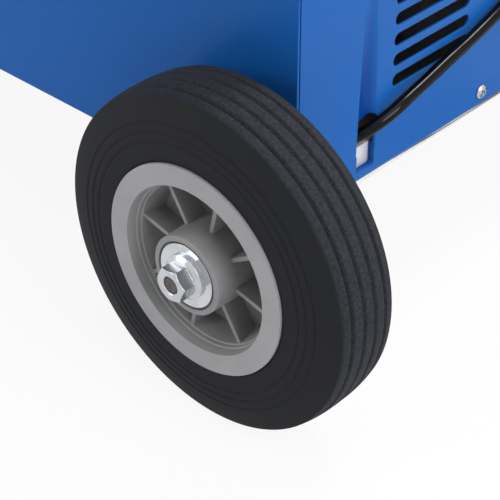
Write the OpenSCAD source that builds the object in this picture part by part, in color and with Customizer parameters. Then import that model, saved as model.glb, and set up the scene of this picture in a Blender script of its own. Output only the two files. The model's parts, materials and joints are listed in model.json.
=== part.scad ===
// Wire-feed welding machine on its own wheeled chassis.
// Front panel faces -Y, rear panel faces +Y, the floor is z = 0.

/* [Case] */
// Width of the case over its side panels
body_w = 332; // [320:1:344]
// Length of the case from front panel to rear panel
body_l = 560; // [552:1:580]
// Height of the case above its bottom edge
body_h = 420; // [410:1:440]
// Thickness of the sheet steel
sheet = 1.5; // [1.2:0.1:1.8]
// Open seam between the rear panel and the side panels
seam = 0.8; // [0.5:0.1:1.2]
// Clearance all round the side door
door_gap = 1.5; // [1:0.1:2]

/* [Rear wheels] */
// Diameter of the rear wheels
wheel_d = 200; // [196:1:206]
// Width of the rear tyres
wheel_w = 50; // [48:1:52]
// Diameter of the axle
axle_d = 16; // [15:1:18]
// Distance from the case side to the outer ring face of the wheel
wheel_out = 64; // [63:1:68]
// Distance from the axle line to the rear panel face
rear_gap = 14.5; // [14:0.5:16]
// Height of the case's bottom edge above the axle line
edge_up = 4.7; // [4:0.1:6]
// Number of ribs on each side of a hub
rib_n = 8; // [6:1:10]
// Number of grooves in the tread
groove_n = 4; // [2:1:5]

/* [Castors] */
// Diameter of the front castor wheels as a share of the rear wheels'
castor_k = 0.5; // [0.48:0.01:0.51]
// Trail of the castor wheels behind their swivel line
castor_trail = 30; // [26:1:34]

/* [Rear panel] */
// Length of a louvre slot
louvre_l = 68; // [60:1:70]
// Height of a louvre slot
louvre_h = 7.8; // [6:0.1:8.5]
// Distance between louvre slots
louvre_pitch = 12.6; // [12:0.1:14]
// Number of louvre slots in a column
louvre_n = 12; // [6:1:14]
// Width of the cord slot
slot_w = 15; // [14:0.5:17]

/* [Wire feed] */
// Diameter of the feed rolls
roll_d = 30; // [28:1:32]
// Diameter of the spool hub
hub_d = 50; // [48:0.5:51]

/* [Sockets] */
// Bore of the torch socket
torch_bore = 10; // [9:0.5:11]
// Bore of the earth socket
earth_bore = 13; // [9:0.5:13.5]

/* [Mains cord] */
// Diameter of the mains cord
cord_d = 7.5; // [6.5:0.1:8]
// Turns in each layer of the stored coil
coil_turns = 2.5; // [1.5:0.5:3]

/* [Hidden] */
$fn = 48;

// Running and mounting clearances
run = 0.06;
clear = 0.3;

// Main planes of the case
front_reach = 34.5;
axle_z = wheel_d / 2;
axle_y = (body_l + front_reach - wheel_d / 2 - rear_gap) / 2;
rear_y = axle_y + rear_gap;
front_y = rear_y - body_l;
side_x = body_w / 2;
in_x = side_x - sheet;
in_rear = rear_y - sheet;
in_front = front_y + sheet;
edge_z = axle_z + edge_up;
top_z = edge_z + body_h;
in_top = top_z - sheet;
tray_t = 2;
deck_z = edge_z + 20.3;
ring_x = side_x + wheel_out;

// Wheel details, measured from the outer ring face
ring_r = 61.8;
ring_in = 49.6;
boss_r = 23.3;
boss_out = 5;
boss_in = 55;
washer_r = 18.8;
recess = 2.6;
recess_r = washer_r + 1.3;
mid = wheel_w / 2;
rib_t = 2.6;
rib_in = 9;
shoulder_out = boss_out - recess + clear;
washer_t = 2;
nut_h = 12;
thread_r = 5;

// Rear panel layout, measured from the corner and the bottom edge
louvre_x = side_x - 79.4 - louvre_l / 2;
louvre_z0 = edge_z + 54;
slot_x = side_x - 58.5;
slot_top = edge_z + 38;
slot_low = edge_z + 7.3;
lip_r = 3.5;
rear_screws = [[0, 11.3], [side_x - 26, 11.3], [26 - side_x, 11.3]];
post_w = 20;
post_screw_z = [top_z - 265, top_z - 145, top_z - 25];

// Door on the left side
door_y0 = front_y + 25;
door_y1 = axle_y - 90;
door_z0 = axle_z + wheel_d / 2 + 14;
door_z1 = top_z - 24;
hinge_x = -side_x - 4.5;
hinge_y = door_y0 - 4;
hinge_z = [post_screw_z[0] + 14.3, post_screw_z[1] + 41];
latch_y = door_y1 - 20;
latch_z = (door_z0 + door_z1) / 2;

// Wire feed layout on the left face of the bulkhead
wall_x = -10;
wire_x = wall_x - 30;
wire_z = edge_z + 145;
feed_y = front_y + 115;
roll_r = roll_d / 2;
nip = 1;
drive_z = wire_z - roll_r - nip / 2;
press_z = wire_z + roll_r + nip / 2;
roll_w = 10;
pivot_y = feed_y - 38;
pivot_z = press_z + 18;
knob_y = feed_y + 36;
spool_y = axle_y - 200;
spool_z = edge_z + 250;

// Front controls
fascia_t = 5;
fascia_z0 = top_z - 185;
fascia_z1 = top_z - 20;
rocker_x = 56 - side_x;
rocker_y = front_y + 4.5;
voltage_x = wall_x - 10;
speed_x = side_x - 81;
dial_z = top_z - 95;
lamp_z = top_z - 150;
earth_x = side_x - 81;
earth_z = wire_z - 15;

// Power parts in the right compartment
tr_x = side_x / 2 - 3;
tr_y = axle_y - 100;
tr_foot = 8;
fan_y = axle_y - 200;
fan_z = deck_z + 85;

// Gas valve behind the rear panel
valve_x = side_x - 66;
valve_z = top_z - 105;

// Handle
handle_y = front_y + 65;
handle_x = 110;
handle_r = 12.5;
bend_r = 40;
bar_z = top_z + 75;

// Castors
castor_x = side_x - 61;
castor_y = front_y + 75;
castor_d = wheel_d * castor_k;
castor_z = castor_d / 2;
plate_z = deck_z - tray_t;

// Mains cord: rest of the route is given as offsets from the slot, the rear panel and the bottom edge
cord_r = cord_d / 2;
hook_x = 49.5 - side_x;
hook_top = edge_z + 95.3;
hook_r = 5;
coil_z = cord_r + 1.6;
coil_h = cord_d + 0.5;
coil_pitch = cord_d + 1.9;
coil_in = 34;
coil_out = coil_in + coil_pitch * (coil_turns - 0.125);
lead_in = cord_d + 2;

// Small shape helpers

// Rounded rectangle about the origin
module rrect(w, h, r) {
  union() {
    square([w - 2 * r, h], center = true);
    square([w, h - 2 * r], center = true);
    for (sx = [-1, 1], sy = [-1, 1])
      translate([sx * (w / 2 - r), sy * (h / 2 - r)]) circle(r);
  }
}

// Slot with round ends, long way along x
module round_slot(l, h) {
  union() {
    square([l - h, h], center = true);
    for (s = [-1, 1]) translate([s * (l - h) / 2, 0]) circle(h / 2);
  }
}

// Box from its low corner to its high corner
module box(a, b) {
  translate(a) cube(b - a);
}

// Cylinder along x from x0 to x1
module rod_x(x0, x1, r) {
  translate([x0, 0, 0]) rotate([0, 90, 0]) cylinder(h = x1 - x0, r = r);
}

// Cylinder along y from y0 to y1
module rod_y(y0, y1, r) {
  translate([0, y0, 0]) rotate([-90, 0, 0]) cylinder(h = y1 - y0, r = r);
}

// Plane shape drawn in (x, z), given thickness along y from y0 to y1
module plate_y(y0, y1) {
  translate([0, y1, 0]) rotate([90, 0, 0]) linear_extrude(y1 - y0) children();
}

// Plane shape drawn in (y, z), given thickness along x from x0 to x1
module plate_x(x0, x1) {
  translate([x0, 0, 0]) rotate([90, 0, 90]) linear_extrude(x1 - x0) children();
}

// Turns a shape about z into one about x, its z pointing outward on the given side
module on_side(s) {
  mirror([s < 0 ? 1 : 0, 0, 0]) rotate([0, 90, 0]) children();
}

// Column of louvre slots drawn in (x, z)
module louvres(x, z0, n) {
  for (i = [0 : n - 1]) translate([x, z0 + i * louvre_pitch]) round_slot(louvre_l, louvre_h);
}

// Chassis

// Inverted pan that carries the machine
module base_tray() {
  set_back = 3;
  color([0.72, 0.73, 0.74]) difference() {
    union() {
      box([-in_x, in_front, deck_z - tray_t], [in_x, in_rear, deck_z]);
      for (s = [-1, 1])
        box([s > 0 ? in_x - tray_t : -in_x, in_front, edge_z + 2.3],
            [s > 0 ? in_x : -in_x + tray_t, in_rear, deck_z - tray_t / 2]);
      box([-in_x, in_front, edge_z + 2.3], [in_x, in_front + tray_t, deck_z - tray_t / 2]);
      box([-in_x, in_rear - tray_t, edge_z + 2.3], [in_x, in_rear, deck_z - tray_t / 2]);
      // Flange set back behind the cord slot
      box([slot_x - slot_w / 2 - 4, in_rear - set_back - tray_t, edge_z + 2.3],
          [slot_x + slot_w / 2 + 4, in_rear - set_back, deck_z - tray_t / 2]);
    }
    // Room for the rolled edge of the rear panel
    box([-in_x - 1, in_rear - lip_r, edge_z], [in_x + 1, in_rear + 1, edge_z + lip_r]);
    // Clear way behind the cord slot
    box([slot_x - slot_w / 2 - 2, in_rear - set_back, edge_z], [slot_x + slot_w / 2 + 2, in_rear + 1, deck_z + 1]);
    // Notches for the axle and its spacers
    translate([0, axle_y, axle_z]) rod_x(-side_x, side_x, axle_d / 2 + 4.2);
    for (s = rear_screws) translate([s[0], 0, edge_z + s[1]]) rod_y(in_rear - 5, in_rear + 1, 2 + run);
  }
}

// Corner angles between tray and top cover
module frame_posts() {
  color([0.55, 0.56, 0.58]) for (sx = [-1, 1], sy = [-1, 1]) {
    x1 = sx * in_x;
    y1 = sy > 0 ? in_rear : in_front;
    x0 = x1 - sx * post_w;
    y0 = y1 - sy * post_w;
    difference() {
      union() {
        box([min(x0, x1), min(y1, y1 - sy * sheet), deck_z], [max(x0, x1), max(y1, y1 - sy * sheet), in_top]);
        box([min(x1, x1 - sx * sheet), min(y0, y1), deck_z], [max(x1, x1 - sx * sheet), max(y0, y1), in_top]);
      }
      for (z = post_screw_z) {
        translate([x1 - sx * 10, 0, z]) rod_y(y1 - 5, y1 + 5, 2 + run);
        translate([0, y1 - sy * 10, z]) rod_x(x1 - 5, x1 + 5, 2 + run);
      }
    }
  }
}

// Fixed axle with a threaded end on each side
module axle() {
  color([0.78, 0.79, 0.8]) translate([0, axle_y, axle_z]) union() {
    rod_x(-ring_x - shoulder_out, ring_x + shoulder_out, axle_d / 2);
    rod_x(-ring_x - shoulder_out - washer_t - nut_h + 1, ring_x + shoulder_out + washer_t + nut_h - 1, thread_r);
  }
}

// Angle brackets that hang the axle under the tray
module axle_brackets() {
  color([0.12, 0.12, 0.13]) for (s = [-1, 1]) mirror([s < 0 ? 1 : 0, 0, 0]) difference() {
    x = side_x - 26;
    union() {
      plate_x(x, x + 4) union() {
        translate([axle_y, axle_z]) circle(axle_d / 2 + 7);
        polygon([[axle_y - 46, plate_z], [axle_y - 15, axle_z - 8], [axle_y + 11, axle_z - 3], [axle_y + 11, plate_z]]);
      }
      box([x - 26, axle_y - 46, plate_z - 4], [x + 2, axle_y + 7, plate_z]);
    }
    translate([0, axle_y, axle_z]) rod_x(x - 30, x + 6, axle_d / 2 + run);
    // Notch for the flange of the tray
    box([x - 1, in_rear - tray_t - clear, edge_z - 0.6], [x + 5, rear_y + 5, plate_z + 1]);
  }
}

// Sleeves that keep the wheels off the case
module axle_spacers() {
  color([0.7, 0.71, 0.72]) for (s = [-1, 1]) mirror([s < 0 ? 1 : 0, 0, 0]) translate([0, axle_y, axle_z]) difference() {
    rod_x(side_x - 22, ring_x - boss_in - clear, axle_d / 2 + 3.2);
    rod_x(side_x - 23, ring_x, axle_d / 2 + run);
  }
}

// Plain washers under the wheel nuts
module axle_washers() {
  color([0.8, 0.81, 0.82]) for (s = [-1, 1]) mirror([s < 0 ? 1 : 0, 0, 0]) translate([0, axle_y, axle_z]) difference() {
    rod_x(ring_x + shoulder_out, ring_x + shoulder_out + washer_t, washer_r);
    rod_x(ring_x, ring_x + 20, thread_r + run);
  }
}

// Flanged hexagon nut standing on z = 0
module flange_nut() {
  difference() {
    union() {
      rotate_extrude() polygon([[0, 0], [13, 0], [13, 1.8], [10.4, 3.6], [0, 3.6]]);
      intersection() {
        rotate([0, 0, 38]) cylinder(h = nut_h, r = 18 / sqrt(3), $fn = 6);
        rotate_extrude() polygon([[0, 0], [10.6, 0], [10.6, nut_h - 1.1], [9, nut_h], [0, nut_h]]);
      }
    }
    translate([0, 0, -1]) cylinder(h = nut_h + 2, r = thread_r + run);
    translate([0, 0, nut_h - 0.7]) cylinder(h = 1, r1 = thread_r, r2 = thread_r + 1);
  }
}

// Wheel nuts on the axle ends
module axle_nuts() {
  color([0.82, 0.83, 0.84]) for (s = [-1, 1]) translate([0, axle_y, axle_z])
    on_side(s) translate([0, 0, ring_x + shoulder_out + washer_t]) flange_nut();
}

// Half section of the rim from its ring face to the web
function rim_half() = [[ring_r, 0], [ring_in, 0], [ring_in - 0.8, -5.8], [ring_in - 1.6, -6.3], [ring_in - 1.9, -8.2],
  [ring_in - 2.7, -8.7], [43.4, -mid + 2.5]];

// Moulded hub: rim, web, ribs and boss about z, ring face at z = 0
module wheel_hub() {
  rib_phase = 32;
  difference() {
    union() {
      rotate_extrude($fn = 96) polygon(concat(rim_half(),
        [for (i = [len(rim_half()) - 1 : -1 : 0]) [rim_half()[i][0], -wheel_w - rim_half()[i][1]]]));
      rotate_extrude() polygon([[axle_d / 2 - 2, boss_out - recess], [recess_r, boss_out - recess],
        [recess_r, boss_out], [boss_r - 0.6, boss_out], [boss_r, boss_out - 0.6],
        [boss_r + 0.6, -mid + 2.5], [44, -mid + 2.5], [44, -mid - 2.5], [boss_r + 0.6, -mid - 2.5],
        [boss_r, -boss_in + 0.6], [boss_r - 0.6, -boss_in], [axle_d / 2 - 2, -boss_in]]);
      for (i = [0 : rib_n - 1]) rotate([0, 0, rib_phase + i * 360 / rib_n])
        box([boss_r - 1, -rib_t / 2, -wheel_w + rib_in], [ring_in + 0.6, rib_t / 2, -rib_in]);
    }
    translate([0, 0, -boss_in - 1]) cylinder(h = boss_in + boss_out + 2, r = axle_d / 2 + run);
  }
}

// Sidewall height at a radius, falling away toward the shoulder
function wall_z(r) = -1.1 - 0.0057 * pow(max(0, r - wheel_d / 2 + 31), 2);

// Tread radius at a height, flat in the middle and lower at the shoulders
function crown_r(z) = wheel_d / 2 - 1.5 * pow(max(0, abs(z + mid) - 4) / (mid - 11.2), 2);

// Side of the tyre from the bead to the shoulder, with three shallow rings
function tyre_side() = concat(
  [[ring_r, -1.6], [ring_r + 1.4, -1.1]],
  [for (f = [0.296, 0.427, 0.565], k = [-1, 0, 1]) let (r = ring_r + f * (wheel_d / 2 - ring_r) + k * 1.1)
    [r, wall_z(r) - (k == 0 ? 0.55 : 0)]],
  [for (d = [10, 6, 3.6]) [wheel_d / 2 - d, wall_z(wheel_d / 2 - d)]],
  [for (a = [70, 45, 20]) [wheel_d / 2 - 3.1 + 1.5 * cos(a), -7.1 + 1.5 * sin(a)]]);

// Tread from the ring side inward, with a V groove between neighbouring bands
function tyre_tread() = [for (i = [groove_n - 1 : -1 : 0], k = [1, 0, -1])
  let (z = -mid + (i - (groove_n - 1) / 2) * 8.4 + k * 1.5) [crown_r(z) - (k == 0 ? 1.7 : 0), z]];

// Solid rubber tyre about z
module wheel_tyre() {
  side = tyre_side();
  rotate_extrude($fn = 96) polygon(concat(side, tyre_tread(),
    [for (i = [len(side) - 1 : -1 : 0]) [side[i][0], -wheel_w - side[i][1]]]));
}

// Places a wheel part on one end of the axle
module at_wheel(s) {
  translate([0, axle_y, axle_z]) on_side(s) translate([0, 0, ring_x]) children();
}

module hub_right() {
  color([0.6, 0.6, 0.61]) at_wheel(1) wheel_hub();
}

module hub_left() {
  color([0.6, 0.6, 0.61]) at_wheel(-1) wheel_hub();
}

module tyre_right() {
  color([0.13, 0.13, 0.14]) at_wheel(1) wheel_tyre();
}

module tyre_left() {
  color([0.13, 0.13, 0.14]) at_wheel(-1) wheel_tyre();
}

// Fixed plates and kingpins of the front castors
module castor_plates() {
  color([0.75, 0.76, 0.78]) for (s = [-1, 1]) translate([s * castor_x, castor_y, 0]) union() {
    translate([0, 0, plate_z - 3]) linear_extrude(3) rrect(90, 80, 8);
    translate([0, 0, plate_z - 11]) cylinder(h = 9, r = 22);
    translate([0, 0, plate_z - 24]) cylinder(h = 20, r = 6);
    translate([0, 0, plate_z - 26]) cylinder(h = 5.7, r = 9);
  }
}

// Swivelling fork with the pin of its wheel
module castor_fork() {
  crown_z = plate_z - 11 - clear;
  difference() {
    union() {
      translate([0, 0, crown_z - 8]) cylinder(h = 8, r = 26);
      for (s = [-1, 1]) plate_x(s * 19.5 - 1.5, s * 19.5 + 1.5) union() {
        translate([castor_trail, castor_z]) circle(12);
        polygon([[-15, crown_z - 2], [15, crown_z - 2], [castor_trail + 12, castor_z], [castor_trail - 12, castor_z]]);
      }
      translate([0, castor_trail, castor_z]) rod_x(-24, 24, 6);
      for (s = [-1, 1]) translate([0, castor_trail, castor_z]) rod_x(s * 22.5 - 1.5, s * 22.5 + 1.5, 9);
    }
    translate([0, 0, crown_z - 10]) cylinder(h = 20, r = 6 + run);
  }
}

module castor_fork_left() {
  color([0.75, 0.76, 0.78]) translate([-castor_x, castor_y, 0]) castor_fork();
}

module castor_fork_right() {
  color([0.75, 0.76, 0.78]) translate([castor_x, castor_y, 0]) castor_fork();
}

// Castor wheel: grey centre with a tread band
module castor_wheel() {
  r = castor_d / 2;
  translate([0, castor_trail, castor_z]) rotate([0, 90, 0]) difference() {
    rotate_extrude($fn = 72) polygon([[5, -16.5], [12, -16.5], [13, -6], [r - 16, -6], [r - 13, -13], [r - 2, -13],
      [r, -9], [r, 9], [r - 2, 13], [r - 13, 13], [r - 16, 6], [13, 6], [12, 16.5], [5, 16.5]]);
    translate([0, 0, -20]) cylinder(h = 40, r = 6 + run);
  }
}

module castor_wheel_left() {
  color([0.2, 0.2, 0.21]) translate([-castor_x, castor_y, 0]) castor_wheel();
}

module castor_wheel_right() {
  color([0.2, 0.2, 0.21]) translate([castor_x, castor_y, 0]) castor_wheel();
}

// Case

// Pan-head screw with a cross recess, head on z = 0 and shank below
module pan_screw() {
  difference() {
    union() {
      rotate_extrude() polygon([[0, 0], [4.6, 0], [4.5, 1.3], [3.6, 2.2], [2.2, 2.7], [0, 2.8]]);
      translate([0, 0, -sheet * 2]) cylinder(h = sheet * 2 + 0.5, r = 2);
    }
    for (a = [45, 135]) rotate([0, 0, a]) translate([-2.2, -0.45, 1.2]) cube([4.4, 0.9, 3]);
  }
}

// Sheet-metal screws of the rear, front and side panels
module panel_screws() {
  color([0.8, 0.81, 0.82]) union() {
    for (s = rear_screws) translate([s[0], rear_y, edge_z + s[1]]) rotate([-90, 0, 0]) pan_screw();
    for (sx = [-1, 1], z = post_screw_z) {
      translate([sx * (in_x - 10), rear_y, z]) rotate([-90, 0, 0]) pan_screw();
      translate([sx * (in_x - 10), front_y, z]) rotate([90, 0, 0]) pan_screw();
      for (y = [in_front + 10, in_rear - 10]) translate([sx * side_x, y, z]) rotate([0, sx * 90, 0]) pan_screw();
    }
  }
}

// Rear panel with louvres, cord slot, lead-in groove and rolled bottom edge
module rear_panel() {
  groove_r = 9.5;
  groove_len = 100;
  x1 = in_x - seam;
  color([0.16, 0.38, 0.7]) difference() {
    union() {
      plate_y(in_rear, rear_y) translate([-x1, edge_z + lip_r]) square([2 * x1, in_top - edge_z - lip_r]);
      // Rolled edge
      plate_x(-x1, x1) intersection() {
        difference() {
          translate([rear_y - lip_r, edge_z + lip_r]) circle(lip_r);
          translate([rear_y - lip_r, edge_z + lip_r]) circle(lip_r - sheet);
        }
        translate([rear_y - lip_r, edge_z]) square(lip_r);
      }
      // Lower edge of the cord slot folded inward
      intersection() {
        plate_y(in_rear - 2.4, in_rear + 0.5)
          translate([slot_x, (slot_low + slot_top) / 2]) rotate(90) cord_slot(sheet);
        box([slot_x - slot_w, in_rear - 5, slot_low - 5], [slot_x + slot_w, rear_y, slot_low + 14]);
      }
      // Back of the groove
      intersection() {
        groove(groove_r + sheet, groove_len);
        box([slot_x - 20, in_rear - 8, slot_top - 3], [slot_x + 20, rear_y, slot_top + groove_len]);
      }
    }
    groove(groove_r, groove_len + 20);
    plate_y(in_rear - 5, rear_y + 5) union() {
      translate([slot_x, (slot_low + slot_top) / 2]) rotate(90) cord_slot(0);
      translate([slot_x - 3.5, slot_top - 3.5]) rotate(-40) round_slot(13, 8.6);
      louvres(louvre_x, louvre_z0, louvre_n);
      louvres(-louvre_x, louvre_z0, louvre_n);
      for (s = rear_screws) translate([s[0], edge_z + s[1]]) circle(2 + run);
      for (sx = [-1, 1], z = post_screw_z) translate([sx * (in_x - 10), z]) circle(2 + run);
      translate([-valve_x, valve_z]) circle(8 + run);
      for (sx = [-1, 1]) translate([hook_x + sx * 8, hook_top - 27]) circle(2 + run);
    }
  }
}

// Cord slot, larger by e all round: round at the top, square corners eased at the bottom
module cord_slot(e) {
  h = slot_top - slot_low + 2 * e;
  w = slot_w + 2 * e;
  union() {
    translate([(h - w) / 2, 0]) circle(w / 2);
    translate([-w / 4, 0]) rrect(h - w / 2, w, 1.5 + e);
  }
}

// Round groove above the slot that runs out upward
module groove(r, l) {
  lean = 2.3;
  translate([slot_x, rear_y + 4.7, slot_top - 20]) rotate([-lean, 0, 0]) cylinder(h = l + 20, r = r);
}

// Plane outline of a side panel in (y, z) with its axle notch
module side_sheet() {
  difference() {
    translate([front_y, edge_z]) square([body_l, in_top - edge_z]);
    translate([axle_y, axle_z]) circle(axle_d / 2 + 5);
    for (y = [in_front + 10, in_rear - 10], z = post_screw_z) translate([y, z]) circle(2 + run);
  }
}

// Right side: plain below, air slots high up
module right_side_panel() {
  color([0.12, 0.32, 0.62]) plate_x(in_x, side_x) difference() {
    side_sheet();
    louvres(front_y + 110, top_z - 130, 7);
    louvres(front_y + 200, top_z - 130, 7);
  }
}

// Left side: frame round the wire compartment door
module left_side_panel() {
  color([0.12, 0.32, 0.62]) plate_x(-side_x, -in_x) difference() {
    side_sheet();
    translate([door_y0, door_z0]) square([door_y1 - door_y0, door_z1 - door_z0]);
  }
}

// Hinged door with stiffening folds
module side_door() {
  y0 = door_y0 + door_gap;
  y1 = door_y1 - door_gap;
  z0 = door_z0 + door_gap;
  z1 = door_z1 - door_gap;
  fold = 9;
  color([0.12, 0.32, 0.62]) difference() {
    union() {
      box([-side_x, y0, z0], [-in_x, y1, z1]);
      box([-in_x - 0.2, y0, z0], [-in_x + fold, y0 + sheet, z1]);
      box([-in_x - 0.2, y0, z0], [-in_x + fold, y1 - 36, z0 + sheet]);
      box([-in_x - 0.2, y0, z1 - sheet], [-in_x + fold, y1 - 36, z1]);
    }
    translate([0, latch_y, latch_z]) rod_x(-side_x - 1, -in_x + 1, 4 + run);
  }
}

// Hinge half with its barrel at the hinge line, the leaf reaching along y to y1
module hinge_half(y1, z0, z1, foot_y) {
  difference() {
    union() {
      translate([hinge_x, hinge_y, z0]) cylinder(h = z1 - z0, r = 4);
      box([-side_x - 2.6, min(y1, foot_y), z0], [-side_x, max(y1, foot_y), z1]);
      box([-side_x - 2.6, min(hinge_y, foot_y), z0], [-side_x - 0.8, max(hinge_y, foot_y), z1]);
    }
    translate([hinge_x, hinge_y, z0 - 1]) cylinder(h = z1 - z0 + 2, r = 2 + run);
  }
}

// Hinge leaves and pins on the case
module door_hinge_frames() {
  color([0.7, 0.71, 0.72]) for (z = hinge_z) union() {
    hinge_half(hinge_y - 19, z, z + 17, hinge_y - 2);
    translate([hinge_x, hinge_y, z]) cylinder(h = 34, r = 2);
    translate([hinge_x, hinge_y, z]) cylinder(h = 3, r = 3);
  }
}

// Hinge leaves on the door
module door_hinge_leaves() {
  color([0.7, 0.71, 0.72]) for (z = hinge_z)
    hinge_half(hinge_y + 26, z + 17 + clear, z + 34, door_y0 + door_gap + 0.2);
}

// Quarter-turn latch: wing grip outside, cam inside
module door_latch() {
  color([0.1, 0.1, 0.11]) translate([0, latch_y, latch_z]) union() {
    rod_x(-side_x - 5, -side_x, 14);
    rod_x(-side_x - 1, -in_x + 3.2, 4);
    plate_x(-side_x - 13, -side_x - 4) rotate(90) round_slot(25, 6);
    plate_x(-in_x + 0.8, -in_x + 3.2) translate([0, 10]) rotate(90) round_slot(34, 10);
  }
}

// Top cover with rounded corners
module top_cover() {
  color([0.16, 0.38, 0.7]) difference() {
    translate([0, (front_y + rear_y) / 2, in_top]) linear_extrude(sheet) rrect(body_w, body_l, 3);
    for (sx = [-1, 1]) translate([sx * handle_x, handle_y, in_top - 1]) cylinder(h = 4, r = 5 + run);
  }
}

// Front panel with openings for controls and sockets
module front_panel() {
  x1 = in_x - seam;
  color([0.16, 0.38, 0.7]) plate_y(front_y, in_front) difference() {
    translate([-x1, edge_z]) square([2 * x1, in_top - edge_z]);
    translate([rocker_x, dial_z]) square([26.2, 28], center = true);
    for (x = [voltage_x, speed_x]) translate([x, dial_z]) circle(3 + run);
    translate([wire_x, wire_z]) circle(12 + run);
    translate([earth_x, earth_z]) circle(15 + run);
    for (sx = [-1, 1]) translate([sx * 12 + rocker_x + 15, lamp_z]) circle(5 + run);
    for (sx = [-1, 1], z = post_screw_z) translate([sx * (in_x - 10), z]) circle(2 + run);
  }
}

// Moulded control fascia with the cheeks that carry the rocker
module control_fascia() {
  color([0.14, 0.14, 0.15]) difference() {
    union() {
      plate_y(front_y - fascia_t, front_y) difference() {
        translate([0, (fascia_z0 + fascia_z1) / 2]) rrect(body_w - 60, fascia_z1 - fascia_z0, 10);
        translate([rocker_x, dial_z]) square([21, 28], center = true);
        for (x = [voltage_x, speed_x]) translate([x, dial_z]) circle(3 + run);
        for (sx = [-1, 1]) translate([sx * 12 + rocker_x + 15, lamp_z]) circle(5 + run);
      }
      for (sx = [-1, 1]) translate([rocker_x + sx * 11.75, 0, dial_z])
        box([-1.25, front_y - 0.5, -8], [1.25, front_y + 10, 8]);
    }
    translate([rocker_x, rocker_y, dial_z]) rod_x(-14, 14, 2 + run);
  }
}

// Mains switch rocker at its off end, round-backed so that it turns in its opening
module power_rocker() {
  color([0.06, 0.06, 0.06]) translate([rocker_x, rocker_y, dial_z]) rotate([12, 0, 0]) difference() {
    union() {
      rod_x(-9.5, 9.5, 13.2);
      rod_x(-12.5, 12.5, 2);
    }
    rotate([12, 0, 0]) box([-15, -25, 0.1], [15, -10.8, 20]);
    rotate([-12, 0, 0]) box([-15, -25, -20], [15, -10.8, -0.1]);
    box([-15, 5, -20], [15, 20, 20]);
  }
}

// Pointer knob about y, seated on the fascia
module pointer_knob(grip_r) {
  y0 = front_y - fascia_t - clear;
  difference() {
    union() {
      rod_y(y0 - 4, y0, grip_r + 6);
      rod_y(y0 - 18, y0 - 3, grip_r);
      rod_y(y0 - 1, in_front + 10, 3);
      rod_y(in_front + clear, in_front + 10, 5);
    }
    for (a = [0 : 30 : 330]) rotate([0, a, 0]) translate([grip_r + 1.2, 0, 0]) rod_y(y0 - 19, y0 - 4, 2.6);
    box([-0.8, y0 - 19, 3], [0.8, y0 - 17.2, grip_r + 1]);
  }
}

module voltage_knob() {
  color([0.08, 0.08, 0.08]) translate([voltage_x, 0, dial_z]) pointer_knob(20);
}

module wire_speed_knob() {
  color([0.08, 0.08, 0.08]) translate([speed_x, 0, dial_z]) pointer_knob(16);
}

// Lamp lenses: power and overheat
module indicator_lamps() {
  color([0.2, 0.7, 0.25]) for (sx = [-1, 1]) translate([sx * 12 + rocker_x + 15, front_y, lamp_z]) union() {
    rotate([90, 0, 0]) rotate_extrude() polygon([[0, fascia_t], [6.5, fascia_t], [6.2, fascia_t + 1.6],
      [5, fascia_t + 3.2], [3, fascia_t + 4.2], [0, fascia_t + 4.6]]);
    rod_y(-fascia_t - 0.5, sheet + 8, 5);
  }
}

// Central torch connector
module torch_socket() {
  color([0.72, 0.6, 0.32]) translate([wire_x, 0, wire_z]) difference() {
    union() {
      plate_y(front_y - 4, front_y) rrect(58, 58, 6);
      rod_y(front_y - front_reach, front_y, 19);
      rod_y(front_y - 1, in_front + 36, 12);
      for (y = [12 : 4 : 28]) rod_y(front_y - y - 2, front_y - y, 20);
    }
    rod_y(front_y - front_reach - 1, in_front + 20, torch_bore / 2);
    rod_y(in_front + 10, in_front + 40, 1.5);
    for (s = [-1, 1]) translate([s * 11, 0, 0]) rod_y(front_y - front_reach - 1, front_y - front_reach + 14, 1.8);
  }
}

// Insulator of the earth connector
module earth_socket() {
  color([0.07, 0.07, 0.07]) translate([earth_x, 0, earth_z]) difference() {
    union() {
      rod_y(front_y - 6, front_y, 23);
      rod_y(front_y - 22, front_y - 5, 18);
      rod_y(front_y - 1, in_front + 10, 15);
    }
    rod_y(front_y - 23, in_front + 11, 10);
    box([-2.2, front_y - 23, 9], [2.2, front_y - 12, 14]);
  }
}

// Brass contact in the earth connector
module earth_contact() {
  color([0.76, 0.62, 0.3]) translate([earth_x, 0, earth_z]) difference() {
    union() {
      rod_y(front_y - 20, in_front + 10.5, 10 - run);
      rod_y(in_front + 10, in_front + 16, 12);
      rod_y(in_front + 15, in_front + 36, 5);
    }
    rod_y(front_y - 21, in_front + 9, earth_bore / 2);
  }
}

// Wire feed

// Wall between the wire compartment and the power compartment
module centre_bulkhead() {
  color([0.68, 0.69, 0.7]) plate_x(wall_x, wall_x + sheet) difference() {
    translate([in_front, deck_z]) square([in_rear - in_front, in_top - deck_z]);
    translate([feed_y, drive_z]) circle(9);
    translate([spool_y, spool_z]) circle(6 + run);
  }
}

// Gear motor behind the bulkhead
module feed_motor() {
  color([0.3, 0.31, 0.33]) translate([0, feed_y, drive_z]) difference() {
    union() {
      box([wall_x + sheet, -28, -26], [wall_x + sheet + 26, 46, 26]);
      translate([0, 20, 0]) rod_x(wall_x + sheet + 25, wall_x + sheet + 100, 23);
      translate([0, 20, 0]) rod_x(wall_x + sheet + 99, wall_x + sheet + 104, 9);
    }
    rod_x(wall_x - 1, wall_x + sheet + 20, 5 + run);
  }
}

// Insulating feeder plate with the pin of the pressure arm
module feed_plate() {
  color([0.16, 0.16, 0.17]) difference() {
    union() {
      plate_x(wall_x - 6, wall_x) translate([feed_y, wire_z + 2]) rrect(112, 100, 8);
      translate([0, pivot_y, pivot_z]) rod_x(wall_x - 26, wall_x - 5, 4);
    }
    translate([0, feed_y, drive_z]) rod_x(wall_x - 10, wall_x + 5, 5 + run);
  }
}

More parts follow.
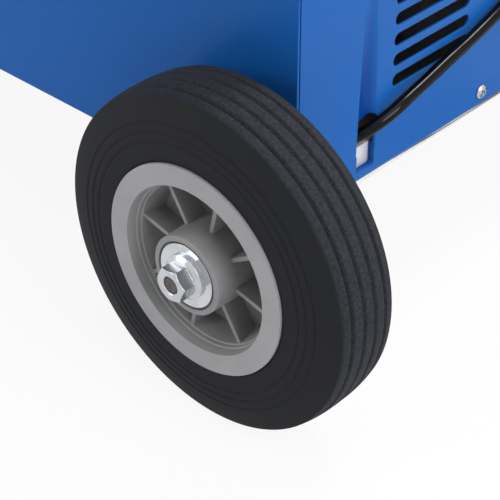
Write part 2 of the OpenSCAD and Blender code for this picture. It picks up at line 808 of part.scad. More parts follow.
// Drive roll on the motor's output shaft
module drive_roll() {
  color([0.75, 0.76, 0.78]) translate([0, feed_y, drive_z]) difference() {
    union() {
      rod_x(wire_x - roll_w / 2, wire_x + roll_w / 2, roll_r);
      rod_x(wire_x - roll_w / 2 - 5, wall_x + sheet + 18, 5);
      rod_x(wire_x - roll_w / 2 - 4, wire_x - roll_w / 2 + 1, 9);
      rod_x(wire_x + roll_w / 2 - 1, wall_x - 6 - clear, 8);
    }
    translate([wire_x, 0, 0]) rotate([0, 90, 0]) rotate_extrude() translate([roll_r, 0]) circle(0.6, $fn = 16);
    for (a = [0 : 120 : 240]) rotate([a, 0, 0]) translate([0, 0, 11.5])
      rod_x(wire_x - roll_w, wire_x + roll_w / 2 - 2, 1.6);
  }
}

// Inlet and outlet guides of the wire
module wire_guides() {
  guide_in = feed_y + 24;
  guide_out = feed_y - 50;
  color([0.74, 0.62, 0.34]) for (y = [guide_in, guide_out]) difference() {
    union() {
      box([wire_x - 7, y, wire_z - 7], [wall_x - 6, y + 12, wire_z + 7]);
      translate([wire_x, 0, wire_z]) rod_y(y > feed_y ? y - 6 : in_front + 36, y > feed_y ? y + 26 : y + 18, 3);
    }
    translate([wire_x, 0, wire_z]) rod_y(in_front, y + 30, 1);
  }
}

// Pressure arm with the stub of its roll and its spring sleeve
module pressure_arm() {
  x0 = wire_x + roll_w / 2 + 1;
  color([0.12, 0.12, 0.13]) difference() {
    union() {
      plate_x(x0, x0 + 8) union() {
        translate([pivot_y, pivot_z - 6]) square([knob_y - pivot_y, 12]);
        translate([pivot_y, pivot_z]) circle(9);
        translate([feed_y, press_z]) circle(8);
        translate([feed_y - 8, press_z]) square([16, pivot_z - press_z]);
      }
      translate([0, feed_y, press_z]) rod_x(wire_x - roll_w / 2 - 2, x0 + 1, 4);
      translate([x0 + 4, knob_y, pivot_z - 6]) cylinder(h = 24, r = 8);
    }
    translate([0, pivot_y, pivot_z]) rod_x(x0 - 1, x0 + 10, 4 + run);
    translate([x0 + 4, knob_y, pivot_z - 10]) cylinder(h = 40, r = 3 + run);
  }
}

// Idle roll on the pressure arm
module pressure_roll() {
  color([0.75, 0.76, 0.78]) translate([0, feed_y, press_z]) difference() {
    rod_x(wire_x - roll_w / 2, wire_x + roll_w / 2, roll_r);
    rod_x(wire_x - roll_w, wire_x + roll_w, 4 + run);
    for (a = [0 : 60 : 300]) rotate([a, 0, 0]) translate([0, 0, 9.5]) rod_x(wire_x - roll_w, wire_x - roll_w / 2 + 1.5, 2);
  }
}

// Tension knob with its screw
module tension_knob() {
  x0 = wire_x + roll_w / 2 + 5;
  z0 = pivot_z + 18 + clear;
  color([0.75, 0.12, 0.1]) translate([x0, knob_y, 0]) difference() {
    union() {
      translate([0, 0, z0]) cylinder(h = 20, r = 10);
      translate([0, 0, pivot_z - 14]) cylinder(h = 40, r = 3);
    }
    for (a = [0 : 45 : 315]) rotate([0, 0, a]) translate([11.2, 0, z0 - 1]) cylinder(h = 16, r = 2.4);
  }
}

// Fixed spindle of the spool hub, with its end cap
module spool_spindle() {
  color([0.72, 0.73, 0.75]) translate([0, spool_y, spool_z]) union() {
    rod_x(wall_x - 84, wall_x + sheet + 6, 6);
    rod_x(wall_x - 6, wall_x, 30);
    rod_x(wall_x - 84, wall_x - 72, 19);
    rotate([30, 0, 0]) translate([wall_x + sheet, 0, 0]) rotate([0, 90, 0]) cylinder(h = 8, r = 11, $fn = 6);
  }
}

// Turning hub that takes the wire spool
module spool_hub() {
  color([0.1, 0.1, 0.11]) translate([0, spool_y, spool_z]) difference() {
    union() {
      rod_x(wall_x - 71, wall_x - 6 - clear, hub_d / 2);
      rod_x(wall_x - 11, wall_x - 6 - clear, hub_d / 2 + 14);
    }
    rod_x(wall_x - 80, wall_x, 6 + run);
    for (a = [0 : 60 : 300]) rotate([a, 0, 0]) translate([0, 0, 15.5]) rod_x(wall_x - 75, wall_x - 30, 4.5);
  }
}

// Power parts

// Laminated core with its mounting rails, coil window either side of the middle limb
module transformer_core() {
  z0 = deck_z + tr_foot;
  color([0.3, 0.26, 0.22]) union() {
    plate_y(tr_y - 35, tr_y + 35) translate([tr_x, z0 + 75]) difference() {
      square([140, 150], center = true);
      for (s = [-1, 1]) translate([s * 34, 0]) square([28, 94], center = true);
    }
    for (s = [-1, 1]) box([tr_x - 70, tr_y + s * 33 - 8, deck_z], [tr_x + 70, tr_y + s * 33 + 8, z0 + 0.5]);
    for (sx = [-1, 1], sz = [12, 138]) translate([tr_x + sx * 58, 0, z0 + sz]) rod_y(tr_y - 41, tr_y + 41, 5);
  }
}

// Taped windings round the middle limb
module transformer_coil() {
  z0 = deck_z + tr_foot + 28;
  color([0.62, 0.5, 0.3]) translate([tr_x, tr_y, z0]) difference() {
    union() {
      linear_extrude(93) rrect(95, 126, 18);
      for (z = [8, 68]) translate([0, 0, z]) linear_extrude(17) rrect(95, 129, 19);
    }
    translate([0, 0, -1]) linear_extrude(95) square([40.4, 70.4], center = true);
  }
}

// Fan plate with the motor on its three arms
module fan_bracket() {
  color([0.6, 0.61, 0.63]) union() {
    plate_y(fan_y, fan_y + 2) difference() {
      translate([tr_x, (deck_z + fan_z + 76) / 2]) square([148, fan_z + 76 - deck_z], center = true);
      translate([tr_x, fan_z]) circle(66);
    }
    box([tr_x - 74, fan_y - 18, deck_z], [tr_x + 74, fan_y + 1, deck_z + 2]);
    translate([tr_x, 0, fan_z]) {
      rod_y(fan_y - 40, fan_y - 4, 22);
      rod_y(fan_y - 5, fan_y + 24, 3);
      for (a = [90, 210, 330]) rotate([0, a, 0]) box([15, fan_y - 6, -5], [73, fan_y + 0.5, 5]);
    }
  }
}

// Fan rotor with pitched blades
module fan_rotor() {
  color([0.12, 0.12, 0.13]) translate([tr_x, fan_y + 5, fan_z]) difference() {
    union() {
      rod_y(0, 17, 18);
      for (a = [0 : 72 : 288]) rotate([0, a, 0]) translate([38, 8.5, 0]) rotate([28, 0, 0])
        box([-24, -0.9, -13], [24, 0.9, 13]);
    }
    rod_y(-1, 20, 3 + run);
  }
}

// Smoothing choke: core and winding in one block
module choke() {
  color([0.34, 0.29, 0.24]) translate([tr_x, fan_y - 130, deck_z]) union() {
    box([-45, -26, 0], [45, 26, 92]);
    translate([0, 0, 22]) linear_extrude(48) rrect(66, 92, 14);
    for (s = [-1, 1]) box([-52, s * 20 - 8, 0], [52, s * 20 + 8, 4]);
  }
}

// Rectifier: cooling plates on two studs
module rectifier() {
  color([0.72, 0.73, 0.75]) translate([wall_x + sheet, tr_y + 20, edge_z + 270]) union() {
    for (i = [0 : 4]) box([8 + i * 13, -45, -45], [10 + i * 13, 45, 45]);
    for (s = [-1, 1]) translate([0, s * 26, 0]) rod_x(0, 66, 5);
    for (s = [-1, 1], i = [0 : 3]) translate([0, s * 26, 0]) rod_x(10 + i * 13 - 0.5, 16 + i * 13, 11);
  }
}

// Control board on standoffs
module control_board() {
  color([0.1, 0.35, 0.2]) translate([wall_x + sheet, feed_y - 20, top_z - 110]) union() {
    box([8, -60, -45], [9.6, 60, 45]);
    for (sy = [-1, 1], sz = [-1, 1]) translate([0, sy * 53, sz * 38]) rod_x(0, 8.5, 3.5);
    box([9.5, -48, -34], [38, -14, 4]);
    box([9.5, 0, -30], [27, 28, -10]);
    for (i = [0 : 2]) translate([0, 8 + i * 18, 22]) rod_x(9.5, 30, 7);
    box([9.5, -50, 20], [20, -8, 32]);
  }
}

// Gas valve inside the rear panel with its hose tail outside
module gas_valve() {
  color([0.74, 0.62, 0.34]) translate([-valve_x, 0, valve_z]) union() {
    box([-16, in_rear - 30, -14], [16, in_rear, 14]);
    translate([0, in_rear - 15, 0]) cylinder(h = 44, r = 13);
    rod_y(in_rear - 1, rear_y + 12, 8);
    rod_y(rear_y + 10, rear_y + 30, 4);
    rotate([0, 15, 0]) translate([0, rear_y, 0]) rotate([-90, 0, 0]) cylinder(h = 8, r = 13, $fn = 6);
    for (y = [14 : 5 : 24]) translate([0, rear_y + y, 0]) rotate([-90, 0, 0]) cylinder(h = 4, r1 = 5, r2 = 4);
  }
}

// Handle

// Bent tube with its two foot flanges
module handle_tube() {
  leg = bar_z - bend_r - top_z;
  color([0.1, 0.1, 0.11]) translate([0, handle_y, 0]) union() {
    for (sx = [-1, 1]) {
      translate([sx * handle_x, 0, top_z]) cylinder(h = leg, r = handle_r);
      translate([sx * handle_x, 0, top_z]) cylinder(h = 5, r = 24);
      translate([sx * handle_x, 0, in_top - 6]) cylinder(h = 8, r = 5);
      translate([sx * (handle_x - bend_r), 0, bar_z - bend_r]) rotate([90, 0, 0])
        rotate([0, 0, sx > 0 ? 0 : 90]) rotate_extrude(angle = 90) translate([bend_r, 0]) circle(handle_r);
    }
    translate([0, 0, bar_z]) rod_x(-handle_x + bend_r, handle_x - bend_r, handle_r);
  }
}

// Ribbed grip sleeve on the bar
module handle_grip() {
  half = handle_x - bend_r - 4;
  color([0.07, 0.07, 0.07]) translate([0, handle_y, bar_z]) difference() {
    union() {
      rod_x(-half, half, handle_r + 2.6);
      for (i = [-6 : 6]) translate([i * 9, 0, 0]) rod_x(-2.5, 2.5, handle_r + 3.4);
      for (s = [-1, 1]) rod_x(s * half - 2, s * half + 2, handle_r + 4.5);
    }
    rod_x(-half - 5, half + 5, handle_r + run);
  }
}

// Mains cord

// Peg with a retaining disc that holds the cord behind the case
module cable_hook() {
  arm = 30;
  t = 2.5;
  color([0.12, 0.12, 0.13]) union() {
    plate_y(rear_y, rear_y + t) translate([hook_x, hook_top - 17]) rrect(30, 38, 4);
    translate([hook_x, 0, hook_top - hook_r]) rod_y(rear_y + t - 0.5, rear_y + arm - 1, hook_r);
    translate([hook_x, 0, hook_top - hook_r]) rod_y(rear_y + arm - 3, rear_y + arm, 12);
    for (s = [-1, 1]) translate([hook_x + s * 8, rear_y + t, hook_top - 27]) rotate([-90, 0, 0]) union() {
      rotate_extrude() polygon([[0, 0], [4.2, 0], [3.4, 1.8], [0, 2.4]]);
      translate([0, 0, -t - sheet - 1]) cylinder(h = t + sheet + 1.5, r = 2);
    }
  }
}

// Unit vector
function unit(v) = v / norm(v);

// Direction of a route at point i
function heading(p, i) = unit(p[min(i + 1, len(p) - 1)] - p[max(i - 1, 0)]);

// Side vectors carried along a route without twist
function carried(p) = [for (i = 0, u = unit(cross(heading(p, 0), [0, 0, 1])); i < len(p); i = i + 1,
  u = i < len(p) ? unit(u - heading(p, i) * (u * heading(p, i))) : u) u];

// Round tube of n sides along a route
module tube(p, r, n) {
  side = carried(p);
  rings = [for (i = [0 : len(p) - 1], k = [0 : n - 1])
    p[i] + r * (cos(360 * k / n) * side[i] + sin(360 * k / n) * cross(heading(p, i), side[i]))];
  last = (len(p) - 1) * n;
  polyhedron(rings, concat(
    [for (k = [1 : n - 2]) [0, k + 1, k]],
    [for (k = [1 : n - 2]) [last, last + k, last + k + 1]],
    [for (i = [0 : len(p) - 2], k = [0 : n - 1]) [i * n + k, i * n + (k + 1) % n, (i + 1) * n + k]],
    [for (i = [0 : len(p) - 2], k = [0 : n - 1]) [i * n + (k + 1) % n, (i + 1) * n + (k + 1) % n, (i + 1) * n + k]]));
}

// Place of the cord inside the case
gland_turn = 142;
gland_at = [slot_x + 29.5, rear_y - 24, edge_z + 25.8];

// Route over the slot, along the rear panel, over the hook and down behind it
route_near = [[20, -16.6, 25.8], [14.5, -12.3, 25.9], [10.7, -9.3, 26.2], [6.9, -6.3, 27.2], [3.3, -3.5, 28.9],
  [0, -0.9, 31], [-4.6, 2.1, 34.2], [-9.6, 4.3, 37], [-14.9, 5.6, 39.4], [-20.3, 6.1, 41.4], [-32.5, 6.1, 44.5],
  [-48, 5.8, 48], [-64.5, 5.4, 52], [-86.5, 5, 56.8], [-112, 4.8, 64.5], [-135.5, 5, 73.6]];
route_hook = [[38, 6, -8.5], [24, 8.5, -2.5], [12, 10.5, 2.3], [0, 12, cord_r + 0.9], [-12, 13, 2.4], [-23.5, 13.6, -4.6],
  [-32, 14, -15.8], [-36, 14, -31]];
drop_x = hook_x - 36;
drop_y = rear_y + 14;
land_r = 36;
cord_path = concat(
  [gland_at, gland_at + 4 * [cos(gland_turn), sin(gland_turn), 0]],
  [for (q = route_near) [slot_x, rear_y, edge_z] + q],
  [for (q = route_hook) [hook_x, rear_y, hook_top] + q],
  [for (f = [0.2 : 0.2 : 0.8]) [drop_x, drop_y, (1 - f) * (hook_top - 31) + f * (coil_z + land_r)]],
  [for (a = [0 : 18 : 90]) [drop_x, drop_y + land_r * (1 - cos(a)), coil_z + land_r * (1 - sin(a))]],
  [[drop_x, drop_y + land_r + lead_in, coil_z]]);

// Coil: spirals in on the floor, climbs, and spirals out on top
coil_c = [drop_x + coil_out, drop_y + land_r + 2 * lead_in, 0];
coil_steps = 24;
climb_at = coil_turns - 0.125;
out_at = climb_at + 0.5;
coil_end = out_at + climb_at;
function coil_r(t) = t < climb_at ? coil_out - coil_pitch * t
  : t < out_at ? coil_out - coil_pitch * climb_at : coil_out - coil_pitch * climb_at + coil_pitch * (t - out_at);
function coil_lift(t) = t < climb_at ? 0 : t < out_at ? coil_h * (1 - cos(360 * (t - climb_at))) / 2 : coil_h;
coil_turn_points = [for (i = [0 : round(coil_end * coil_steps)]) let (t = i / coil_steps)
  coil_c + [coil_r(t) * cos(180 - 360 * t), coil_r(t) * sin(180 - 360 * t), coil_z + coil_lift(t)]];
tail_from = coil_turn_points[len(coil_turn_points) - 1];
plug_r = 17.5;
plug_z = plug_r + 0.4;
tail = [for (f = [0.25, 0.5, 0.75, 1]) [tail_from[0] + 44 * f, tail_from[1],
  tail_from[2] + (plug_z - tail_from[2]) * (1 - cos(180 * f)) / 2]];
plug_at = tail[3] + [cord_d + 1, 0, 0];
coil_path = concat([coil_turn_points[0] - [0, lead_in, 0], coil_turn_points[0] - [0, 1, 0]],
  [for (i = [1 : len(coil_turn_points) - 1]) coil_turn_points[i]], tail, [plug_at]);

// Least gap between one turn of the coil and another, measured on its points
coil_gap = min([for (i = [0 : len(coil_turn_points) - 1], j = [i + 12 : 1 : len(coil_turn_points) - 1])
  norm(coil_turn_points[i] - coil_turn_points[j]) - cord_d]);
echo(coil_gap = coil_gap);

module power_cord() {
  color([0.05, 0.05, 0.05]) tube(cord_path, cord_r, 8);
}

module power_cord_coil() {
  color([0.05, 0.05, 0.05]) tube(coil_path, cord_r, 6);
}

// Strap round the coil
module coil_tie() {
  w = coil_out - coil_in + cord_d + 1;
  h = coil_z + coil_h + cord_r + 0.4;
  color([0.1, 0.1, 0.11]) plate_y(coil_c[1] - 7, coil_c[1] + 7)
    translate([coil_c[0] + (coil_out + coil_in) / 2 - 1.5, h / 2 + 0.8]) difference() {
      rrect(w + 2.4, h + 1.4, 5);
      rrect(w, h - 1, 4);
    }
}

// Tapered sleeve and saddle that hold the cord inside the case
module cord_gland() {
  color([0.06, 0.06, 0.06]) translate(gland_at) rotate([0, 0, gland_turn]) union() {
    rotate([0, -90, 0]) cylinder(h = 22, r1 = cord_r + 1.2, r2 = cord_r + 1.7);
    box([-22, -8, deck_z - gland_at[2]], [-8, 8, 9]);
  }
}

// Moulded mains plug lying beside the coil
module power_plug() {
  color([0.05, 0.05, 0.05]) translate(plug_at) union() {
    rotate([0, 90, 0]) rotate_extrude() polygon([[0, 0], [cord_r + 1, 0], [cord_r + 3.5, 26], [12, 30],
      [plug_r - 1, 38], [plug_r, 44], [plug_r, 64], [plug_r - 3, 66], [0, 66]]);
    for (s = [-1, 1]) translate([0, s * 9.5, 0]) rod_x(65, 84, 2.4);
  }
}

base_tray();
frame_posts();
rear_panel();
right_side_panel();
left_side_panel();
side_door();
door_hinge_frames();
door_hinge_leaves();
door_latch();
top_cover();
front_panel();
control_fascia();
power_rocker();
voltage_knob();
wire_speed_knob();
indicator_lamps();
torch_socket();
earth_socket();
earth_contact();
centre_bulkhead();
feed_motor();
feed_plate();
drive_roll();
wire_guides();
pressure_arm();
pressure_roll();
tension_knob();
spool_spindle();
spool_hub();
transformer_core();
transformer_coil();
fan_bracket();
fan_rotor();
choke();
rectifier();
control_board();
gas_valve();
handle_tube();
handle_grip();
castor_plates();
castor_fork_left();
castor_fork_right();
castor_wheel_left();
castor_wheel_right();
axle();
axle_brackets();
axle_spacers();
axle_washers();
axle_nuts();
hub_left();
hub_right();
tyre_left();
tyre_right();
panel_screws();
cable_hook();
cord_gland();
power_cord();
power_cord_coil();
coil_tie();
power_plug();
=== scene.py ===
"""Wire-feed welding machine on wheels: finishes, fine pieces, mains cord, camera and studio."""

import json
import logging
import math
from dataclasses import dataclass
from enum import Enum
from typing import Dict, Iterable, List, Optional, Sequence, Tuple, Union

import bmesh
import bpy
from mathutils import Matrix, Vector


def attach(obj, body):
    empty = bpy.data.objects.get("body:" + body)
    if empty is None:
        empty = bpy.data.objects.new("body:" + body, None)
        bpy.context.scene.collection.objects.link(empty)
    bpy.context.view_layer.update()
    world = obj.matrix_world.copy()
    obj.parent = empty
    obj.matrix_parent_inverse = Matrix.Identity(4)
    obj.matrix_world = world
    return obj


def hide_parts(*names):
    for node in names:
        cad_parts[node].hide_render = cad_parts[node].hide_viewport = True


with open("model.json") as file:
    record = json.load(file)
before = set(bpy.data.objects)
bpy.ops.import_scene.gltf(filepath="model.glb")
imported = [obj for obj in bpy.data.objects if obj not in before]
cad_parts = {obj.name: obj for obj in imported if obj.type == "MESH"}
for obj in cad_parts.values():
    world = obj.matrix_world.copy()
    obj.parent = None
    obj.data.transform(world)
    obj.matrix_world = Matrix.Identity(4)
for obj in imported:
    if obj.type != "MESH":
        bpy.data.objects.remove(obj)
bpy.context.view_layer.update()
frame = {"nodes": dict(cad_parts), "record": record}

log = logging.getLogger("welder")
MM = 0.001
RGB = Tuple[float, float, float]
Point = Tuple[float, float, float]
Pair = Tuple[float, float]
Shape = Tuple[List[Vector], List[List[int]]]
Value = Union["Wire", float, int, Sequence[float]]
Sockets = Dict[Union[str, int], Value]


def srgb(red: float, green: float, blue: float) -> RGB:
    """Linear colour of a screen colour.

    Args:
        red: Red from 0 to 255.
        green: Green from 0 to 255.
        blue: Blue from 0 to 255.

    Returns:
        The colour in linear light.
    """
    def one(value: float) -> float:
        """Linear value of one channel."""
        v = value / 255
        return v / 12.92 if v <= 0.04045 else ((v + 0.055) / 1.055) ** 2.4
    return one(red), one(green), one(blue)


def times(colour: RGB, share: float) -> RGB:
    """Colour times a share, no channel over 1."""
    red, green, blue = (min(1.0, channel * share) for channel in colour)
    return red, green, blue


class Axis(Enum):
    """Direction along which a turned or set piece stands."""

    X = Vector((1, 0, 0))
    Z = Vector((0, 0, 1))
    MINUS_X = Vector((-1, 0, 0))
    MINUS_Y = Vector((0, -1, 0))
    MINUS_Z = Vector((0, 0, -1))


# Shader building


class Wire:
    """Output socket of a shader node, with arithmetic written as Python."""

    def __init__(self, tree: "Tree", socket: bpy.types.NodeSocket) -> None:
        """Keeps the socket and the tree that it belongs to."""
        self.tree = tree
        self.socket = socket

    def math(self, operation: str, *others: Value) -> "Wire":
        """Result of a Math node on this value and others."""
        return self.tree.wire("ShaderNodeMath", dict(enumerate((self, *others))), operation=operation)

    def __add__(self, other: Value) -> "Wire":
        """Sum."""
        return self.math("ADD", other)

    def __sub__(self, other: Value) -> "Wire":
        """Difference."""
        return self.math("SUBTRACT", other)

    def __rsub__(self, other: Value) -> "Wire":
        """Difference with the value first."""
        return self.tree.wire("ShaderNodeMath", {0: other, 1: self}, operation="SUBTRACT")

    def __mul__(self, other: Value) -> "Wire":
        """Product."""
        return self.math("MULTIPLY", other)

    __radd__ = __add__
    __rmul__ = __mul__

    def __gt__(self, other: Value) -> "Wire":
        """One where this is greater."""
        return self.math("GREATER_THAN", other)

    def __abs__(self) -> "Wire":
        """Size without sign."""
        return self.math("ABSOLUTE")

    def most(self, other: Value) -> "Wire":
        """The greater of two values."""
        return self.math("MAXIMUM", other)

    def sine(self, rate: float) -> "Wire":
        """Sine of the value times a rate."""
        return (self * rate).math("SINE")

    def lifted(self) -> "Wire":
        """Wave from -1 to 1, moved to 0 to 1."""
        return self * 0.5 + 0.5

    def band(self, low: float, high: float) -> "Wire":
        """Smooth step from zero at the low value to one at the high value."""
        return self.tree.wire("ShaderNodeMapRange", {0: self, 1: low, 2: high, 3: 0.0, 4: 1.0},
                              interpolation_type="SMOOTHSTEP")


class Tree:
    """Node tree that is being filled."""

    def __init__(self, tree: bpy.types.NodeTree) -> None:
        """Takes over a tree and empties it."""
        self.tree = tree
        tree.nodes.clear()

    def node(self, kind: str, sockets: Optional[Sockets] = None, **settings: object) -> bpy.types.Node:
        """Adds any node.

        Args:
            kind: The node's type.
            sockets: Values or links of its sockets.
            settings: Its settings, which are set first.

        Returns:
            The node.
        """
        made = self.tree.nodes.new(kind)
        for name, setting in settings.items():
            setattr(made, name, setting)
        for name, value in (sockets or {}).items():
            self.plug(made.inputs[name], value)
        return made

    def wire(self, kind: str, sockets: Optional[Sockets] = None, output: Union[str, int] = 0,
             **settings: object) -> Wire:
        """Adds any node, as node does, and gives one of its outputs."""
        return Wire(self, self.node(kind, sockets, **settings).outputs[output])

    def plug(self, socket: bpy.types.NodeSocket, value: Value) -> None:
        """Sets a socket.

        Args:
            socket: The socket.
            value: Number, colour or link.
        """
        if isinstance(value, Wire):
            self.tree.links.new(value.socket, socket)
        elif isinstance(value, (int, float)):
            socket.default_value = value
        else:
            parts = tuple(value)
            size = len(socket.default_value)
            socket.default_value = parts if len(parts) == size else (*parts, 1.0)[:size]


class Look(Tree):
    """Node tree of one material, with the shader that it ends in and the place on the piece in metres."""

    def __init__(self, name: str) -> None:
        """Makes an empty material of that name."""
        self.material = bpy.data.materials.new(name)
        self.material.use_nodes = True
        super().__init__(self.material.node_tree)
        self.shader = self.node("ShaderNodeBsdfPrincipled")
        self.out = self.node("ShaderNodeOutputMaterial", {"Surface": Wire(self, self.shader.outputs[0])})
        self.places = self.wire("ShaderNodeTexCoord", output="Object")
        coordinates = self.node("ShaderNodeSeparateXYZ", {0: self.places}).outputs
        self.x, self.y, self.z = (Wire(self, coordinate) for coordinate in coordinates)

    def set(self, **sockets: Value) -> None:
        """Sets sockets of the shader, names written with underscores."""
        for name, value in sockets.items():
            self.plug(self.shader.inputs[name.replace("_", " ")], value)

    def radius(self, axle: Pair) -> Wire:
        """Distance from an axle along x that passes through a y and a z."""
        over, up = self.y - axle[0], self.z - axle[1]
        return (over * over + up * up).math("SQRT")

    def stretched(self, scale: Sequence[float]) -> Wire:
        """Places multiplied along each axis."""
        return self.wire("ShaderNodeVectorMath", {0: self.places, 1: scale}, operation="MULTIPLY")

    def noise(self, scale: float, detail: float = 2.0, rough: float = 0.5, at: Optional[Wire] = None) -> Wire:
        """Cloud noise about 0.5, from waves in a metre, octaves and the strength of the finer ones."""
        return self.wire("ShaderNodeTexNoise", {"Vector": at or self.places, "Scale": scale, "Detail": detail,
                                                "Roughness": rough})

    def cells(self, scale: float) -> Wire:
        """Grey value of each cell of a cell pattern."""
        colour = self.wire("ShaderNodeTexVoronoi", {"Vector": self.places, "Scale": scale}, "Color")
        return self.wire("ShaderNodeSeparateColor", {0: colour})

    def mixed(self, factor: Value, first: Value, second: Value, blend: str = "MIX") -> Wire:
        """Colour between two colours."""
        return self.wire("ShaderNodeMix", {0: factor, 6: first, 7: second}, 2, data_type="RGBA",
                         blend_type=blend)

    def shaded(self, colour: RGB, value: Wire, low: float, high: float) -> Wire:
        """Colour that goes from a low to a high share of itself as a value goes from 0 to 1."""
        return self.mixed(value, times(colour, low), times(colour, high))

    def bumped(self, height: Wire, depth: float, strength: float = 1.0, edge: float = 0.0) -> None:
        """Bumps the surface.

        Args:
            height: Height from 0 to 1.
            depth: Real depth in metres.
            strength: Share of the effect.
            edge: Radius of softened edges in metres.
        """
        sockets: Sockets = {"Height": height, "Distance": depth, "Strength": strength}
        if edge > 0:
            sockets["Normal"] = self.wire("ShaderNodeBevel", {"Radius": edge}, samples=6)
        self.set(Normal=self.wire("ShaderNodeBump", sockets))

    def show(self, shader: Wire) -> None:
        """Makes a shader the material's surface."""
        self.plug(self.out.inputs["Surface"], shader)


# Finishes


@dataclass(frozen=True)
class Finish:
    """Finish of a piece: its name, main colour and gloss."""

    name: str
    colour: RGB
    rough: float = 0.4

    def make(self) -> bpy.types.Material:
        """The material of this finish."""
        look = Look(self.name)
        look.material.diffuse_color = (*self.colour, 1.0)
        self.dress(look)
        return look.material

    def dress(self, look: Look) -> None:
        """Fills the material's nodes.

        Args:
            look: Node tree of the material.
        """
        raise NotImplementedError

    def uneven(self, value: Wire, spread: float) -> Wire:
        """Roughness that a value about 0.5 spreads about the finish's own."""
        return self.rough + spread * (value - 0.5)


@dataclass(frozen=True)
class PowderCoat(Finish):
    """Baked paint on sheet steel with a faint orange peel."""

    peel: float = 620.0
    depth: float = 0.00005
    edge: float = 0.0009
    gloss: float = 0.08

    def dress(self, look: Look) -> None:
        """Peel, slight clouding and softened sheet edges."""
        look.set(Base_Color=self.tone(look), Roughness=self.uneven(look.noise(38.0, 3.0), 0.07),
                 Specular_IOR_Level=self.gloss)
        look.bumped(look.noise(self.peel, 2.0, 0.45), self.depth, 0.6, self.edge)

    def tone(self, look: Look) -> Wire:
        """Colour with slight clouding."""
        return look.shaded(self.colour, look.noise(7.0, 3.0).band(0.3, 0.7), 0.955, 1.045)


@dataclass(frozen=True)
class PressedPaint(PowderCoat):
    """Paint of a panel with painted shade where its sheet is pressed in and where it is rolled under."""

    face_y: float = 0.2545
    edge_z: float = 0.1047
    pressed: Pair = (-0.0032, -0.0002)
    rolled: Pair = (0.0022, 0.0034)
    deep: RGB = srgb(4, 66, 146)

    def tone(self, look: Look) -> Wire:
        """Colour with painted shade behind the panel's face and on its rolled edge."""
        # Painted shade: darker in the pressed groove behind the face, and a little less on the rolled lower
        # edge.
        pressed = 1 - look.y.band(*(self.face_y + step for step in self.pressed))
        rolled = 1 - look.z.band(*(self.edge_z + step for step in self.rolled))
        return look.mixed(pressed.most(0.7 * rolled), super().tone(look), self.deep)


@dataclass(frozen=True)
class MouldedRubber(Finish):
    """Solid rubber with the grain of its mould."""

    grain: float = 1500.0
    depth: float = 0.00016
    edge: float = 0.0007
    specular: float = 0.35

    def dress(self, look: Look) -> None:
        """Mould grain, paler dusting on the high spots."""
        grain = look.noise(self.grain, 3.0, 0.65)
        cloud = look.noise(24.0, 4.0, 0.6)
        dust = 0.55 * cloud + 0.45 * grain.band(0.35, 0.7)
        look.set(Base_Color=look.shaded(self.colour, dust, 0.72, 1.35), Roughness=self.uneven(cloud, 0.12),
                 Specular_IOR_Level=self.specular)
        look.bumped(grain, self.depth, 0.8, self.edge)


@dataclass(frozen=True)
class TyreRubber(MouldedRubber):
    """Tyre: smooth dark sides and a paler, coarse-grained tread."""

    axle: Pair = (0.24, 0.1)
    tread_r: Pair = (0.0968, 0.098)
    worn_r: Pair = (0.0975, 0.0992)
    coarse: float = 620.0
    tread_depth: float = 0.00042

    def dress(self, look: Look) -> None:
        """Grain that is coarse on the tread and fine on the sides."""
        radius = look.radius(self.axle)
        tread = radius.band(*self.tread_r)
        # The tread is paler than the sides, and palest on its outer band.
        outer_tread = radius.band(*self.worn_r)
        fine = look.noise(self.grain, 3.0, 0.65)
        coarse = look.noise(self.coarse, 4.0, 0.75)
        cloud = look.noise(24.0, 4.0, 0.6)
        side = look.shaded(self.colour, 0.6 * cloud + 0.4 * fine.band(0.35, 0.7), 0.8, 1.2)
        band = look.shaded(self.colour, coarse.band(0.32, 0.68), 1.2, 3.0)
        look.set(Base_Color=look.mixed(tread * (0.35 + 0.65 * outer_tread), side, band),
                 Roughness=self.uneven(cloud, 0.1) + 0.08 * tread, Specular_IOR_Level=self.specular)
        look.bumped(fine * 0.3 * (1 - tread) + coarse * tread, self.tread_depth, 0.9, self.edge)


@dataclass(frozen=True)
class CastorTread(MouldedRubber):
    """Castor wheel: rubber band on a paler plastic centre."""

    centre: RGB = (0.3, 0.3, 0.31)
    axle: Pair = (-0.2005, 0.05)
    band_r: Pair = (0.0383, 0.0387)

    def dress(self, look: Look) -> None:
        """Band and centre split by radius."""
        outer = look.radius(self.axle).band(*self.band_r)
        cloud = look.noise(30.0, 3.0, 0.6)
        centre = look.shaded(self.centre, cloud, 0.9, 1.08)
        look.set(Base_Color=look.mixed(outer, centre, look.shaded(self.colour, cloud, 0.7, 1.3)),
                 Roughness=self.uneven(cloud, 0.1) + 0.15 * (outer - 1))
        look.bumped(look.noise(self.grain, 3.0, 0.6), self.depth, 0.6, self.edge)


@dataclass(frozen=True)
class MouldedPlastic(Finish):
    """Moulded plastic with a fine spark-eroded grain."""

    grain: float = 1900.0
    depth: float = 0.00005
    edge: float = 0.0006

    def dress(self, look: Look) -> None:
        """Grain, flow clouds and softened edges."""
        grain = look.noise(self.grain, 2.0, 0.6)
        flow = look.noise(30.0, 3.0, 0.55)
        look.set(Base_Color=look.shaded(self.colour, flow.band(0.25, 0.75), 0.93, 1.07),
                 Roughness=self.uneven(grain, 0.08))
        look.bumped(grain, self.depth, 0.55, self.edge)


